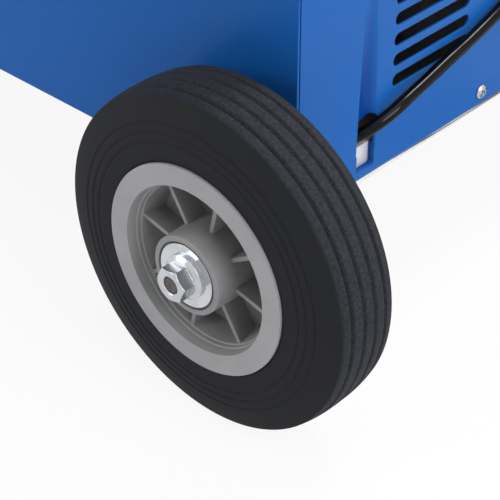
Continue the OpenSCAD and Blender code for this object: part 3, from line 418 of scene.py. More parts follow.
@dataclass(frozen=True)
class HubPlastic(MouldedPlastic):
    """Grey plastic of a wheel hub, with painted shade down in its dish and on its boss."""

    axle: Pair = (0.24, 0.1)
    middle_x: float = 0.205
    dish: Pair = (0.012, 0.0235)
    boss_r: Pair = (0.0238, 0.0246)
    turning: float = 5200.0

    def dress(self, look: Look) -> None:
        """Grain, faint turning marks and painted shade in the dish and on the boss."""
        radius = look.radius(self.axle)
        grain = look.noise(self.grain, 2.0, 0.6)
        flow = look.noise(42.0, 3.0, 0.55).band(0.25, 0.75)
        # Painted shade: the dish and the boss take a darker copy of the grey.
        painted_shade_mask = 1 - abs(abs(look.x) - self.middle_x).band(*self.dish)
        painted_shade_mask = painted_shade_mask.most(1 - radius.band(*self.boss_r))
        lit = look.shaded(self.colour, flow, 0.95, 1.05)
        deep = look.shaded(times(self.colour, 0.78), flow, 0.92, 1.06)
        look.set(Base_Color=look.mixed(painted_shade_mask, lit, deep), Roughness=self.uneven(grain, 0.1),
                 Specular_IOR_Level=0.4)
        look.bumped(grain + radius.sine(self.turning) * 0.12, self.depth, 0.6, self.edge)


@dataclass(frozen=True)
class ZincPlate(Finish):
    """Bright zinc plating with faint drawing marks."""

    along: Point = (1.0, 1.0, 1.0)
    edge: float = 0.0004
    dark_end: float = 0.0
    rust: Tuple[RGB, RGB] = (srgb(72, 64, 62), srgb(104, 94, 90))

    def dress(self, look: Look) -> None:
        """Drawing marks, cloudy gloss and, on a thread's end, bare dark steel."""
        marks = look.noise(900.0, 2.0, 0.6, look.stretched(self.along))
        cloud = look.noise(60.0, 3.0, 0.6)
        colour = look.shaded(self.colour, cloud.band(0.3, 0.7), 0.9, 1.06)
        rough = self.uneven(cloud, 0.16) + 0.06 * (marks - 0.5)
        metal: Value = 1.0
        if self.dark_end > 0:
            bare = abs(look.x).band(self.dark_end - 0.0002, self.dark_end)
            rust = look.mixed(look.noise(700.0, 4.0, 0.7).band(0.4, 0.65), *self.rust)
            colour = look.mixed(bare, colour, rust)
            rough = rough + 0.35 * bare
            metal = 1 - 0.75 * bare
        look.set(Base_Color=colour, Metallic=metal, Roughness=rough)
        look.bumped(marks, 0.00002, 0.5, self.edge)


@dataclass(frozen=True)
class Spangle(Finish):
    """Galvanised sheet with its crystal pattern, and painted light behind a place along y."""

    bright_y: float = 1.0
    bright: RGB = srgb(236, 237, 240)

    def dress(self, look: Look) -> None:
        """Crystals of differing gloss and tone, and painted light on the rear flange."""
        crystal = look.cells(150.0)
        # Painted light: behind that place the sheet is paler and less metallic.
        painted_light_mask = look.y.band(self.bright_y, self.bright_y + 0.0005)
        dull = look.shaded(self.colour, crystal, 0.84, 1.08)
        look.set(Base_Color=look.mixed(painted_light_mask, dull, look.shaded(self.bright, crystal, 0.97, 1.02)),
                 Metallic=1 - 0.6 * painted_light_mask, Roughness=self.uneven(crystal, 0.14))
        look.bumped(look.noise(800.0, 2.0), 0.00002, 0.4)


@dataclass(frozen=True)
class TurnedMetal(Finish):
    """Turned metal with fine tool marks about an axis along y."""

    tool: float = 9000.0

    def dress(self, look: Look) -> None:
        """Tool rings and slight tarnish."""
        tarnish = look.noise(55.0, 4.0, 0.6)
        look.set(Base_Color=look.shaded(self.colour, tarnish.band(0.3, 0.75), 0.82, 1.06), Metallic=1.0,
                 Roughness=self.uneven(tarnish, 0.14))
        look.bumped(look.y.sine(self.tool).lifted(), 0.00002, 0.35, 0.0003)


@dataclass(frozen=True)
class ValveBrass(Finish):
    """Brass valve whose coil, above a height, is black plastic."""

    coil_z: float = 0.434
    coil: RGB = srgb(38, 38, 40)
    tool: float = 6000.0

    def dress(self, look: Look) -> None:
        """Tarnished brass below, moulded coil above."""
        coil = look.z.band(self.coil_z, self.coil_z + 0.0003)
        tarnish = look.noise(60.0, 4.0, 0.6)
        brass = look.shaded(self.colour, tarnish.band(0.3, 0.75), 0.8, 1.05)
        look.set(Base_Color=look.mixed(coil, brass, self.coil), Metallic=1 - coil,
                 Roughness=self.uneven(tarnish, 0.12) + 0.15 * coil)
        look.bumped(look.y.sine(self.tool), 0.00002, 0.3, 0.0003)


@dataclass(frozen=True)
class Laminations(Finish):
    """Stacked and varnished core sheets seen from their edges."""

    sheets: float = 6283.0

    def dress(self, look: Look) -> None:
        """Thin dark lines between sheets along y, and varnish clouds."""
        sheet = look.y.sine(self.sheets).lifted().band(0.05, 0.4)
        varnish = look.noise(40.0, 4.0, 0.6)
        tone = look.shaded(self.colour, varnish.band(0.3, 0.7), 0.75, 1.25)
        look.set(Base_Color=look.mixed(sheet, times(self.colour, 0.4), tone), Metallic=0.35,
                 Roughness=self.uneven(varnish, 0.2))
        look.bumped(sheet, 0.0001, 0.6)


@dataclass(frozen=True)
class WoundTape(Finish):
    """Varnished tape wrapped round a winding."""

    pitch: float = 420.0
    slant: float = 30.0

    def dress(self, look: Look) -> None:
        """Overlapping turns of tape with weave and drips of varnish."""
        lap = (look.z * self.pitch + (look.x + look.y) * self.slant).math("SINE").lifted().band(0.1, 0.9)
        weave = look.noise(1200.0, 2.0, 0.6)
        varnish = look.noise(35.0, 4.0, 0.6).band(0.35, 0.7)
        look.set(Base_Color=look.shaded(self.colour, 0.6 * lap + 0.4 * varnish, 0.62, 1.15),
                 Roughness=self.rough - 0.2 * varnish)
        look.bumped(lap + 0.3 * weave, 0.0004, 0.7)


@dataclass(frozen=True)
class BoardLacquer(Finish):
    """Green lacquered circuit board with its larger components."""

    face_x: float = 0.0012
    tall: float = 0.012
    tall_z: float = 0.425
    tracks: Pair = (1500.0, 1100.0)
    components: Tuple[RGB, RGB] = (srgb(34, 34, 38), srgb(28, 52, 110))
    cooler: RGB = srgb(30, 32, 40)

    def dress(self, look: Look) -> None:
        """Copper tracks under lacquer; components above the board are dark or blue."""
        track = (look.y.sine(self.tracks[0]) * look.z.sine(self.tracks[1])).band(0.35, 0.5)
        board = look.mixed(track, self.colour, times(self.colour, 1.9))
        above = look.x.band(self.face_x, self.face_x + 0.0004)
        parts = look.mixed(look.cells(34.0).band(0.45, 0.55), *self.components)
        tall = (look.x > self.face_x + self.tall) * (look.z > self.tall_z)
        parts = look.mixed(tall, parts, self.cooler)
        look.set(Base_Color=look.mixed(above, board, parts), Roughness=self.uneven(look.noise(300.0), 0.1))
        look.bumped(track, 0.00005, 0.5, 0.0004)


@dataclass(frozen=True)
class TintedLens(Finish):
    """Two lamp lenses, one tint each, split at a place along x."""

    second: RGB = (0.6, 0.3, 0.02)
    split_x: float = -0.095
    facets: float = 5200.0

    def dress(self, look: Look) -> None:
        """Tints, with faint facets inside the lens."""
        facet = (look.x.sine(self.facets) * look.z.sine(self.facets)).lifted()
        tint = look.mixed(look.x > self.split_x, self.colour, self.second)
        grey = look.mixed(facet, [0.6] * 3, [1.0] * 3)
        look.set(Base_Color=look.mixed(0.5, tint, grey, "MULTIPLY"),
                 Roughness=self.uneven(look.noise(500.0), 0.08), Coat_Weight=0.8, Coat_Roughness=0.05)
        look.bumped(facet, 0.0001, 0.35)


@dataclass(frozen=True)
class CordSheath(Finish):
    """Glossy black sheath, slightly uneven from extrusion."""

    def dress(self, look: Look) -> None:
        """Long soft waves and fine scuffs."""
        wave = look.noise(130.0, 2.0, 0.4)
        scuff = look.noise(900.0, 3.0, 0.6)
        look.set(Base_Color=look.shaded(self.colour, scuff.band(0.3, 0.7), 0.8, 1.3),
                 Roughness=self.uneven(scuff, 0.12) + 0.08 * (wave - 0.5), Specular_IOR_Level=0.17)
        look.bumped(wave, 0.00008, 0.4)


@dataclass(frozen=True)
class PlugMoulding(Finish):
    """Moulded plug body with bright pins beyond a place along x."""

    pins_x: float = 0.0
    plating: RGB = srgb(196, 194, 188)

    def dress(self, look: Look) -> None:
        """Grain on the body, plating on the pins."""
        pins = look.x.band(self.pins_x, self.pins_x + 0.0002)
        grain = look.noise(1700.0, 2.0, 0.6)
        look.set(Base_Color=look.mixed(pins, look.shaded(self.colour, grain, 0.8, 1.3), self.plating),
                 Metallic=pins, Roughness=self.uneven(grain, 0.1) - 0.15 * pins)
        look.bumped(grain, 0.00005, 0.5, 0.0005)


@dataclass(frozen=True)
class WovenStrap(Finish):
    """Woven strap with ribs across its length."""

    threads: Pair = (7000.0, 5000.0)

    def dress(self, look: Look) -> None:
        """Warp and weft as crossed waves."""
        weave = (look.y.sine(self.threads[0]) * (look.x + look.z).sine(self.threads[1])).lifted()
        look.set(Base_Color=look.shaded(self.colour, weave, 0.6, 1.4), Roughness=self.uneven(weave, 0.1),
                 Sheen_Weight=0.3)
        look.bumped(weave, 0.0003, 0.8)


@dataclass(frozen=True)
class PrintInk(Finish):
    """Pale ink printed on plastic."""

    def dress(self, look: Look) -> None:
        """Slightly uneven ink."""
        speck = look.noise(1500.0, 3.0, 0.6)
        look.set(Base_Color=look.shaded(self.colour, speck, 0.9, 1.05), Roughness=self.uneven(speck, 0.1))
        look.bumped(speck, 0.00002, 0.3)


# Finish of each material slot, then of the printed marks
FINISHES: Dict[str, Finish] = {finish.name: finish for finish in (
    PowderCoat("blue_paint", srgb(26, 97, 178), 0.3),
    PowderCoat("black_paint", srgb(38, 38, 41), 0.42, peel=900.0, depth=0.00012),
    PowderCoat("motor_paint", srgb(92, 95, 102), 0.45),
    ZincPlate("zinc", srgb(196, 199, 203), 0.25),
    ZincPlate("roll_steel", srgb(196, 198, 202), 0.3, along=(0.05, 1.0, 1.0)),
    ZincPlate("cooler_aluminium", srgb(206, 208, 212), 0.38, along=(1.0, 0.05, 1.0)),
    Spangle("galvanised", srgb(186, 189, 192), 0.42),
    TurnedMetal("brass", srgb(212, 176, 96), 0.28),
    Laminations("core_iron", srgb(112, 98, 86), 0.5),
    WoundTape("winding_tape", srgb(170, 146, 104), 0.55),
    BoardLacquer("board_green", srgb(24, 104, 60), 0.3),
    # Wheel hub grey, with painted shade in its dish and on its boss.
    HubPlastic("hub_plastic", srgb(157, 157, 158), 0.5),
    MouldedPlastic("fascia_plastic", srgb(48, 48, 52), 0.5, grain=1400.0, depth=0.00009),
    MouldedPlastic("knob_plastic", srgb(30, 30, 33), 0.32),
    MouldedPlastic("arm_plastic", srgb(44, 44, 48), 0.45),
    MouldedPlastic("red_plastic", srgb(186, 34, 28), 0.34),
    TyreRubber("tyre_rubber", srgb(28, 29, 33), 0.7, specular=0.15),
    CastorTread("castor_rubber", srgb(44, 44, 47), 0.6),
    MouldedRubber("grip_rubber", srgb(34, 34, 37), 0.66),
    TintedLens("lamp_lens", srgb(40, 168, 74), 0.16),
    CordSheath("cord_sheath", srgb(6, 6, 7), 0.13),
    WovenStrap("tie_strap", srgb(36, 36, 40), 0.8),
)}
INK = PrintInk("print_ink", srgb(226, 228, 230), 0.5)
# Finish of each node that differs from its slot's own
SPECIAL: Dict[str, Finish] = {
    "axle": ZincPlate("axle_zinc", srgb(238, 240, 243), 0.2, along=(0.05, 1.0, 1.0), dark_end=0.2452),
    "power_plug": PlugMoulding("plug_moulding", srgb(26, 26, 28), 0.42, pins_x=0.0223),
    # Base tray: darker zinc, with painted light on its rear flange seen through the cord slot.
    "base_tray": Spangle("tray_zinc", srgb(150, 153, 157), 0.42, bright_y=0.2465),
    # Rear panel: blue paint a little darker and more specular than the sides', with painted shade in its
    # groove and rolled edge.
    "rear_panel": PressedPaint("paint_with_painted_shade", srgb(25, 95, 174), 0.34, gloss=0.14),
    "axle_washers": ZincPlate("washer_zinc", srgb(200, 203, 207), 0.12),
    "gas_valve": ValveBrass("valve_brass", srgb(206, 172, 100), 0.3),
    "choke": WoundTape("choke_tape", srgb(128, 108, 84), 0.55, pitch=520.0),
}


# Mesh building, in millimetres

EDGE = 0.2


def joined(name: str, shapes: Iterable[Shape], smooth: bool = True, bevel: float = 0.0) -> bpy.types.Object:
    """Makes one mesh piece of several shapes.

    Args:
        name: The piece's name.
        shapes: Points and faces of each shape.
        smooth: Whether faces shade smoothly, apart from sharp edges.
        bevel: Width of a bevel on its sharp edges.

    Returns:
        The piece.
    """
    verts: List[Vector] = []
    faces: List[List[int]] = []
    for points, sides in shapes:
        faces += [[len(verts) + i for i in side] for side in sides]
        verts += [point * MM for point in points]
    mesh = bpy.data.meshes.new(name)
    mesh.from_pydata(verts, [], faces)
    work = bmesh.new()
    work.from_mesh(mesh)
    bmesh.ops.remove_doubles(work, verts=work.verts, dist=1e-7)
    bmesh.ops.recalc_face_normals(work, faces=work.faces)
    work.to_mesh(mesh)
    work.free()
    piece = bpy.data.objects.new(name, mesh)
    bpy.context.scene.collection.objects.link(piece)
    if bevel > 0:
        rounder = piece.modifiers.new("edges", "BEVEL")
        rounder.width = bevel * MM
        rounder.segments = 2
        rounder.angle_limit = math.radians(40)
    if smooth:
        mesh.shade_smooth()
        mesh.set_sharp_from_angle(angle=math.radians(38))
    return piece


def turned(profile: Sequence[Pair], centre: Point, axis: Axis, sides: int, spin: float = 0.0) -> Shape:
    """Turns a profile about an axis.

    Args:
        profile: Radius and height of each ring; it is a closed loop if it ends where it starts.
        centre: Point on the axis at height 0.
        axis: The axis.
        sides: Points in a ring.
        spin: Turn of the first point in radians.

    Returns:
        Points and faces of the closed shape.
    """
    turn = axis.value.to_track_quat("Z", "Y").to_matrix()
    loop = profile[0] == profile[-1]
    rings = profile[:-1] if loop else profile
    verts: List[Vector] = []
    for radius, height in rings:
        for k in range(sides):
            a = spin + 2 * math.pi * k / sides
            verts.append(Vector(centre) + turn @ Vector((radius * math.cos(a), radius * math.sin(a), height)))
    faces: List[List[int]] = []
    for i in range(len(profile) - 1):
        low, high = i * sides, (i + 1) % len(rings) * sides
        for k in range(sides):
            j = (k + 1) % sides
            faces.append([low + k, low + j, high + j, high + k])
    if not loop:
        faces.append(list(range(sides - 1, -1, -1)))
        faces.append(list(range(len(verts) - sides, len(verts))))
    return verts, faces


def hex_head(centre: Point, axis: Axis, across: float, height: float, spin: float) -> Shape:
    """Chamfered hexagon head that stands on its centre point, with its size across flats and its turn."""
    corner = across / math.sqrt(3)
    return turned([(corner, 0), (corner, height * 0.82), (corner * 0.86, height)], centre, axis, 6, spin)


def ring_band(inner: float, outer: float, low: float, high: float) -> List[Pair]:
    """Closed profile of a plain ring with eased edges."""
    e = min(outer - inner, high - low) * 0.2
    return [(inner, low + e), (inner + e, low), (outer - e, low), (outer, low + e), (outer, high - e),
            (outer - e, high), (inner + e, high), (inner, high - e), (inner, low + e)]


def plate_box(low: Point, high: Point) -> Shape:
    """Box between two corners."""
    xs, ys, zs = zip(low, high)
    verts = [Vector((x, y, z)) for x in xs for y in ys for z in zs]
    faces = [[0, 1, 3, 2], [4, 6, 7, 5], [0, 4, 5, 1], [2, 3, 7, 6], [0, 2, 6, 4], [1, 5, 7, 3]]
    return verts, faces


def moved(shape: Shape, turn: Matrix) -> Shape:
    """Shape carried by a matrix."""
    return [turn @ v for v in shape[0]], shape[1]


def eased(f: float) -> float:
    """Smooth rise from 0 to 1."""
    return (1 - math.cos(math.pi * f)) / 2


class Paintbox:
    """Keeps one material of each finish and puts them on pieces."""

    def __init__(self) -> None:
        """Starts with no material made."""
        self.made: Dict[str, bpy.types.Material] = {}

    def paint(self, piece: bpy.types.Object, finish: Finish) -> None:
        """Puts a finish on the whole of a piece.

        Args:
            piece: The piece.
            finish: The finish, whose material is made once.
        """
        if finish.name not in self.made:
            self.made[finish.name] = finish.make()
        piece.data.materials.clear()
        piece.data.materials.append(self.made[finish.name])

    def settle(self, piece: bpy.types.Object, body: str, slot: str,
               finish: Optional[Finish] = None) -> bpy.types.Object:
        """Finishes a new piece.

        Args:
            piece: The piece, in place.
            body: Body that it rides on.
            slot: Material slot that it belongs to.
            finish: Finish, if not the slot's own.

        Returns:
            The piece.
        """
        self.paint(piece, finish or FINISHES[slot])
        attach(piece, body)
        log.info("piece %s on %s", piece.name, body)
        return piece


# Camera and studio


@dataclass
class PhotoCamera:
    """Camera at the photograph's place."""

    place: Point = (0.6916, 0.7142, 0.5968)
    azimuth: float = 133.213
    elevation: float = 36.182
    roll: float = -0.222
    lens: float = 113.875
    sensor: float = 36.0
    shift: Pair = (0.0024, 0.0024)
    clip: Pair = (0.02, 50.0)

    def build(self) -> None:
        """Makes the camera and sets it as the scene's."""
        data = bpy.data.cameras.new("photo_camera")
        data.lens = self.lens
        data.sensor_width = self.sensor
        data.shift_x, data.shift_y = self.shift
        data.clip_start, data.clip_end = self.clip
        camera = bpy.data.objects.new("photo_camera", data)
        turns = ((self.azimuth, "Z"), (90 - self.elevation, "X"), (self.roll, "Z"))
        around, down, level = (Matrix.Rotation(math.radians(angle), 4, axis) for angle, axis in turns)
        camera.matrix_world = Matrix.Translation(self.place) @ around @ down @ level
        bpy.context.scene.collection.objects.link(camera)
        bpy.context.scene.camera = camera


@dataclass(frozen=True)
class Lamp:
    """Soft rectangular studio lamp aimed at a point."""

    name: str
    place: Point
    aim: Point
    size: Pair
    power: float

    def build(self) -> None:
        """Makes the lamp."""
        data = bpy.data.lights.new(self.name, "AREA")
        data.shape = "RECTANGLE"
        data.size, data.size_y = self.size
        data.energy = self.power
        lamp = bpy.data.objects.new(self.name, data)
        lamp.location = self.place
        lamp.rotation_mode = "QUATERNION"
        lamp.rotation_quaternion = (Vector(self.aim) - Vector(self.place)).to_track_quat("-Z", "Y")
        bpy.context.scene.collection.objects.link(lamp)


@dataclass
class Studio:
    """White floor, soft lamps and plain surroundings."""

    lamps: Tuple[Lamp, ...] = (
        Lamp("rear_soft", (0.3, 2.3, 1.6), (0.1, 0.2, 0.2), (1.6, 1.4), 42.0),
        Lamp("side_soft", (1.5, -0.9, 0.7), (0.2, 0.0, 0.2), (0.9, 0.9), 8.0),
        Lamp("top_soft", (0.3, 0.4, 2.6), (0.0, 0.1, 0.2), (1.8, 1.8), 16.0),
        Lamp("top_small", (-0.82, 0.42, 2.15), (0.05, 0.26, 0.155), (0.5, 0.42), 17.0),
        Lamp("front_soft", (-0.9, -2.3, 1.5), (0.0, -0.2, 0.3), (1.6, 1.4), 30.0),
        Lamp("left_soft", (-2.4, 0.1, 1.2), (-0.1, 0.0, 0.3), (1.6, 1.4), 22.0),
    )
    white: RGB = (1.0, 1.0, 1.0)
    sky: RGB = (0.97, 0.985, 1.0)
    ambient: float = 0.27
    ground: RGB = (0.86, 0.86, 0.86)
    ground_half: float = 9000.0
    keep: float = 0.1

    def build(self) -> None:
        """Makes lamps, world and floor."""
        for lamp in self.lamps:
            lamp.build()
        self.surround()
        self.floor()
        bpy.context.scene.view_settings.view_transform = "Standard"

    def seen(self, tree: Tree) -> Wire:
        """One on rays that show the background as such."""
        path = tree.node("ShaderNodeLightPath")
        rays = ("Is Camera Ray", "Is Glossy Ray", "Is Transmission Ray")
        camera, glossy, through = (Wire(tree, path.outputs[ray]) for ray in rays)
        return camera.most(glossy).most(through)

    def surround(self) -> None:
        """White world on seen rays, a dimmer one as light."""
        world = bpy.data.worlds.new("studio")
        world.use_nodes = True
        bpy.context.scene.world = world
        tree = Tree(world.node_tree)
        white = tree.wire("ShaderNodeBackground", {"Color": self.white, "Strength": 1.0})
        light = tree.wire("ShaderNodeBackground", {"Color": self.sky, "Strength": self.ambient})
        mix = tree.wire("ShaderNodeMixShader", {0: self.seen(tree), 1: light, 2: white})
        tree.node("ShaderNodeOutputWorld", {"Surface": mix})

    def floor(self) -> None:
        """Wide pale floor that keeps a faint shadow."""
        half = self.ground_half
        corners = [Vector((x * half, y * half, 0)) for x, y in ((-1, -1), (1, -1), (1, 1), (-1, 1))]
        piece = joined("studio_floor", [(corners, [[0, 1, 2, 3]])], False)
        look = Look("floor_white")
        look.set(Base_Color=self.ground, Roughness=0.9, Specular_IOR_Level=0.1)
        glow = look.wire("ShaderNodeEmission", {"Color": self.white, "Strength": 1.0})
        lit = Wire(look, look.shader.outputs[0])
        look.show(look.wire("ShaderNodeMixShader", {0: self.seen(look) * (1 - self.keep), 1: lit, 2: glow}))
        piece.data.materials.append(look.material)


# Sub-assemblies, sizes in millimetres


class Assembly:
    """Group of pieces that are made together."""

    def build(self, paints: Paintbox) -> None:
        """Makes and dresses the pieces.

        Args:
            paints: Materials of the finishes.
        """
        raise NotImplementedError


@dataclass
class MainsCord(Assembly):
    """Mains cord from its gland over the peg to the tied coil and plug."""

    diameter: float = 7.5
    slot: Point = (107.5, 254.5, 104.7)
    peg: Point = (-116.5, 254.5, 200.0)
    gland: Point = (29.5, -24.0, 25.8)
    gland_turn: float = 142.0
    gland_lead: float = 4.0
    near: Tuple[Point, ...] = (
        (20, -16.6, 25.8), (14.5, -12.3, 25.9), (10.7, -9.3, 26.2), (6.9, -6.3, 27.2), (3.3, -3.5, 28.9),
        (0, -0.9, 31), (-4.6, 2.1, 34.2), (-9.6, 4.3, 37), (-14.9, 5.6, 39.4), (-20.3, 6.1, 41.4),
        (-32.5, 6.1, 44.5), (-48, 5.8, 48), (-64.5, 5.4, 52), (-86.5, 5, 56.8), (-112, 4.8, 64.5),
        (-135.5, 5, 73.6))
    over: Tuple[Point, ...] = (
        (38, 6, -8.5), (24, 8.5, -2.5), (12, 10.5, 2.3), (0, 12, 4.65), (-12, 13, 2.4), (-23.5, 13.6, -4.6),
        (-32, 14, -15.8), (-36, 14, -31))
    bend: float = 36.0
    turns: float = 2.375
    rise: float = 0.5
    inner: float = 34.0
    steps: int = 24
    floor_gap: float = 1.6
    layer_gap: float = 0.5
    turn_gap: float = 1.9
    lead_gap: float = 2.0
    coil_in: float = 1.0
    tail: float = 44.0
    plug_z: float = 17.9
    plug_in: float = 1.0
    tie_room: Pair = (2.2, 1.1)
    tie_half: float = 6.6
    tie_corner: float = 4.6
    tie_skin: Pair = (-0.55, 0.4)
    tie_shift: float = -1.5
    flap_x: Pair = (-9.0, 8.0)
    flap_half: float = 6.3
    flap_z: Pair = (0.05, 0.75)
    rib_step: float = 3.6
    sleeve_x: float = 4.0
    sleeve_wall: float = 1.0
    sleeve_taper: float = 2.5 / 26
    sleeve_ribs: int = 6
    sleeve_rib: Pair = (-0.6, 0.7)
    sleeve_rib_half: float = 0.9
    body_x: float = 47.0
    body_ribs: int = 5
    body_rib: Pair = (17.0, 17.65)
    body_rib_half: float = 0.7

    def __post_init__(self) -> None:
        """Works out where the cord starts to drop, and the heights, steps and middle of its coil."""
        self.fall = Vector(self.peg) + Vector(self.over[-1])
        self.floor_z = self.diameter / 2 + self.floor_gap
        self.layer = self.diameter + self.layer_gap
        self.pitch = self.diameter + self.turn_gap
        self.lead = self.diameter + self.lead_gap
        self.outer = self.inner + self.pitch * self.turns
        self.middle = Vector((self.fall.x + self.outer, self.fall.y + self.bend + 2 * self.lead, 0))

    def route(self) -> List[Vector]:
        """Points of the whole cord, gland to plug."""
        turn = math.radians(self.gland_turn)
        start = Vector(self.slot) + Vector(self.gland)
        points = [start, start + self.gland_lead * Vector((math.cos(turn), math.sin(turn), 0))]
        points += [Vector(self.slot) + Vector(p) for p in self.near]
        points += [Vector(self.peg) + Vector(p) for p in self.over]
        x, y, high = self.fall
        low = self.floor_z + self.bend
        points += [Vector((x, y, (1 - f) * high + f * low)) for f in (0.2, 0.4, 0.6, 0.8)]
        for k in range(6):
            a = math.radians(18 * k)
            points.append(Vector((x, y + self.bend * (1 - math.cos(a)), low - self.bend * math.sin(a))))
        points.append(Vector((x, y + self.bend + self.lead, self.floor_z)))
        return points + self.coil()

    def coil(self) -> List[Vector]:
        """Points of the coil and its tail, up to the plug."""
        out = self.turns + self.rise
        points = [Vector((self.fall.x, self.middle.y - self.coil_in, self.floor_z))]
        for i in range(1, round((out + self.turns) * self.steps) + 1):
            t = i / self.steps
            if t < self.turns:
                radius, lift = self.outer - self.pitch * t, 0.0
            elif t < out:
                radius, lift = self.inner, self.layer * eased((t - self.turns) / self.rise)
            else:
                radius, lift = self.inner + self.pitch * (t - out), self.layer
            a = math.pi - 2 * math.pi * t
            step = Vector((radius * math.cos(a), radius * math.sin(a), self.floor_z + lift))
            points.append(self.middle + step)
        end = points[-1].copy()
        for f in (0.25, 0.5, 0.75, 1.0):
            points.append(end + Vector((self.tail * f, 0, (self.plug_z - end.z) * eased(f))))
        points.append(points[-1] + Vector((self.diameter + self.plug_in, 0, 0)))
        return points

    def build(self, paints: Paintbox) -> None:
        """Makes the cord, its tie and the ribs of its plug."""
        route = self.route()
        points = [p * MM for p in route]
        data = bpy.data.curves.new("mains_cord", "CURVE")
        data.dimensions = "3D"
        data.bevel_depth = self.diameter / 2 * MM
        data.bevel_resolution = 4
        data.resolution_u = 5
        data.use_fill_caps = True
        line = data.splines.new("BEZIER")
        line.bezier_points.add(len(points) - 1)
        for knot, point in zip(line.bezier_points, points):
            knot.co = point
            knot.handle_left_type = knot.handle_right_type = "AUTO"
        cord = bpy.data.objects.new("mains_cord", data)
        bpy.context.scene.collection.objects.link(cord)
        paints.settle(cord, "chassis", "cord_sheath")
        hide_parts("power_cord", "power_cord_coil")
        length = sum((b - a).length for a, b in zip(points, points[1:]))
        tie = self.tie(paints)
        ribs = self.plug_ribs(paints, tuple(route[-1]))
        log.info("mains cord %.3f m", length)

    def tie(self, paints: Paintbox) -> bpy.types.Object:
        """Makes the woven strap round the coil, with its overlapped end.

        Args:
            paints: Materials of the finishes.

        Returns:
            The strap.
        """
        wide = self.outer - self.inner + self.diameter + self.tie_room[0]
        high = self.floor_z + self.layer + self.diameter / 2 + self.tie_room[1]
        x0 = self.middle.x + (self.outer + self.inner) / 2 + self.tie_shift
        z0 = high / 2 - self.tie_skin[0]
        r = self.tie_corner
        loop: List[Pair] = []
        for cx, cz, first in ((1, 1, 0), (-1, 1, 90), (-1, -1, 180), (1, -1, 270)):
            for k in range(7):
                a = math.radians(first + 15 * k)
                loop.append((x0 + cx * (wide / 2 - r) + r * math.cos(a),
                             z0 + cz * (high / 2 - r) + r * math.sin(a)))
        verts: List[Vector] = []
        faces: List[List[int]] = []
        for i, (px, pz) in enumerate(loop):
            bx, bz = loop[i - 1]
            nx, nz = loop[(i + 1) % len(loop)]
            normal = Vector((nz - bz, 0, bx - nx)).normalized()
            for side in (-self.tie_half, self.tie_half):
                verts += [Vector((px, self.middle.y + side, pz)) + normal * out for out in self.tie_skin]
            a, b = 4 * i, 4 * ((i + 1) % len(loop))
            faces += [[a, a + 1, b + 1, b], [a + 2, b + 2, b + 3, a + 3], [a + 1, a + 3, b + 3, b + 1],
                      [a, b, b + 2, a + 2]]
        top = z0 + high / 2
        flap = plate_box((x0 + self.flap_x[0], self.middle.y - self.flap_half, top + self.flap_z[0]),
                         (x0 + self.flap_x[1], self.middle.y + self.flap_half, top + self.flap_z[1]))
        piece = joined("coil_strap", [(verts, faces), flap], bevel=EDGE)
        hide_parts("coil_tie")
        return paints.settle(piece, "chassis", "tie_strap")

    def plug_ribs(self, paints: Paintbox, at: Point) -> bpy.types.Object:
        """Makes flexing ribs on the plug's sleeve and grip bars on its body.

        Args:
            paints: Materials of the finishes.
            at: End of the cord.

        Returns:
            The ribs.
        """
        rings = []
        for k in range(self.sleeve_ribs):
            x, half = self.sleeve_x + self.rib_step * k, self.sleeve_rib_half
            r = self.diameter / 2 + self.sleeve_wall + self.sleeve_taper * x
            inner, outer = (r + step for step in self.sleeve_rib)
            rings.append(turned(ring_band(inner, outer, x - half, x + half), at, Axis.X, 28))
        for k in range(self.body_ribs):
            x, half = self.body_x + self.rib_step * k, self.body_rib_half
            rings.append(turned(ring_band(*self.body_rib, x - half, x + half), at, Axis.X, 48))
        return paints.settle(joined("plug_ribs", rings), "chassis", "cord_sheath")


@dataclass
class RearWheels(Assembly):
    """Fine pieces of the rear wheels and their axle."""

    axle: Pair = (240.0, 100.0)
    end_x: float = 245.7
    end_face: Tuple[Pair, ...] = ((4.85, -0.1), (4.3, 0.4), (2.3, 0.45), (1.5, 0.05))
    bracket_x: float = 124.0
    bracket_z: float = 119.0
    bolt_y: Pair = (202.0, 221.0)
    bolt_across: float = 10.0
    bolt_h: float = 4.0
    bolt_turn: float = 0.3
    washer: Tuple[Pair, ...] = ((8.5, 0), (8.5, 1), (8.2, 1.2), (3, 1.2))

    def build(self, paints: Paintbox) -> None:
        """Makes the turned faces of the axle's ends and the bolts of the brackets."""
        bolts, ends = [], []
        for side, way in ((-1, Axis.MINUS_X), (1, Axis.X)):
            ends.append(turned(self.end_face, (side * self.end_x, *self.axle), way, 32))
            for y in self.bolt_y:
                at = (side * self.bracket_x, y, self.bracket_z)
                bolts.append(hex_head(at, Axis.MINUS_Z, self.bolt_across, self.bolt_h, self.bolt_turn * side))
                bolts.append(turned(self.washer, at, Axis.MINUS_Z, 32))
        paints.settle(joined("axle_bracket_bolts", bolts, bevel=EDGE), "chassis", "zinc")
        paints.settle(joined("axle_end_faces", ends), "chassis", "zinc", SPECIAL["axle"])


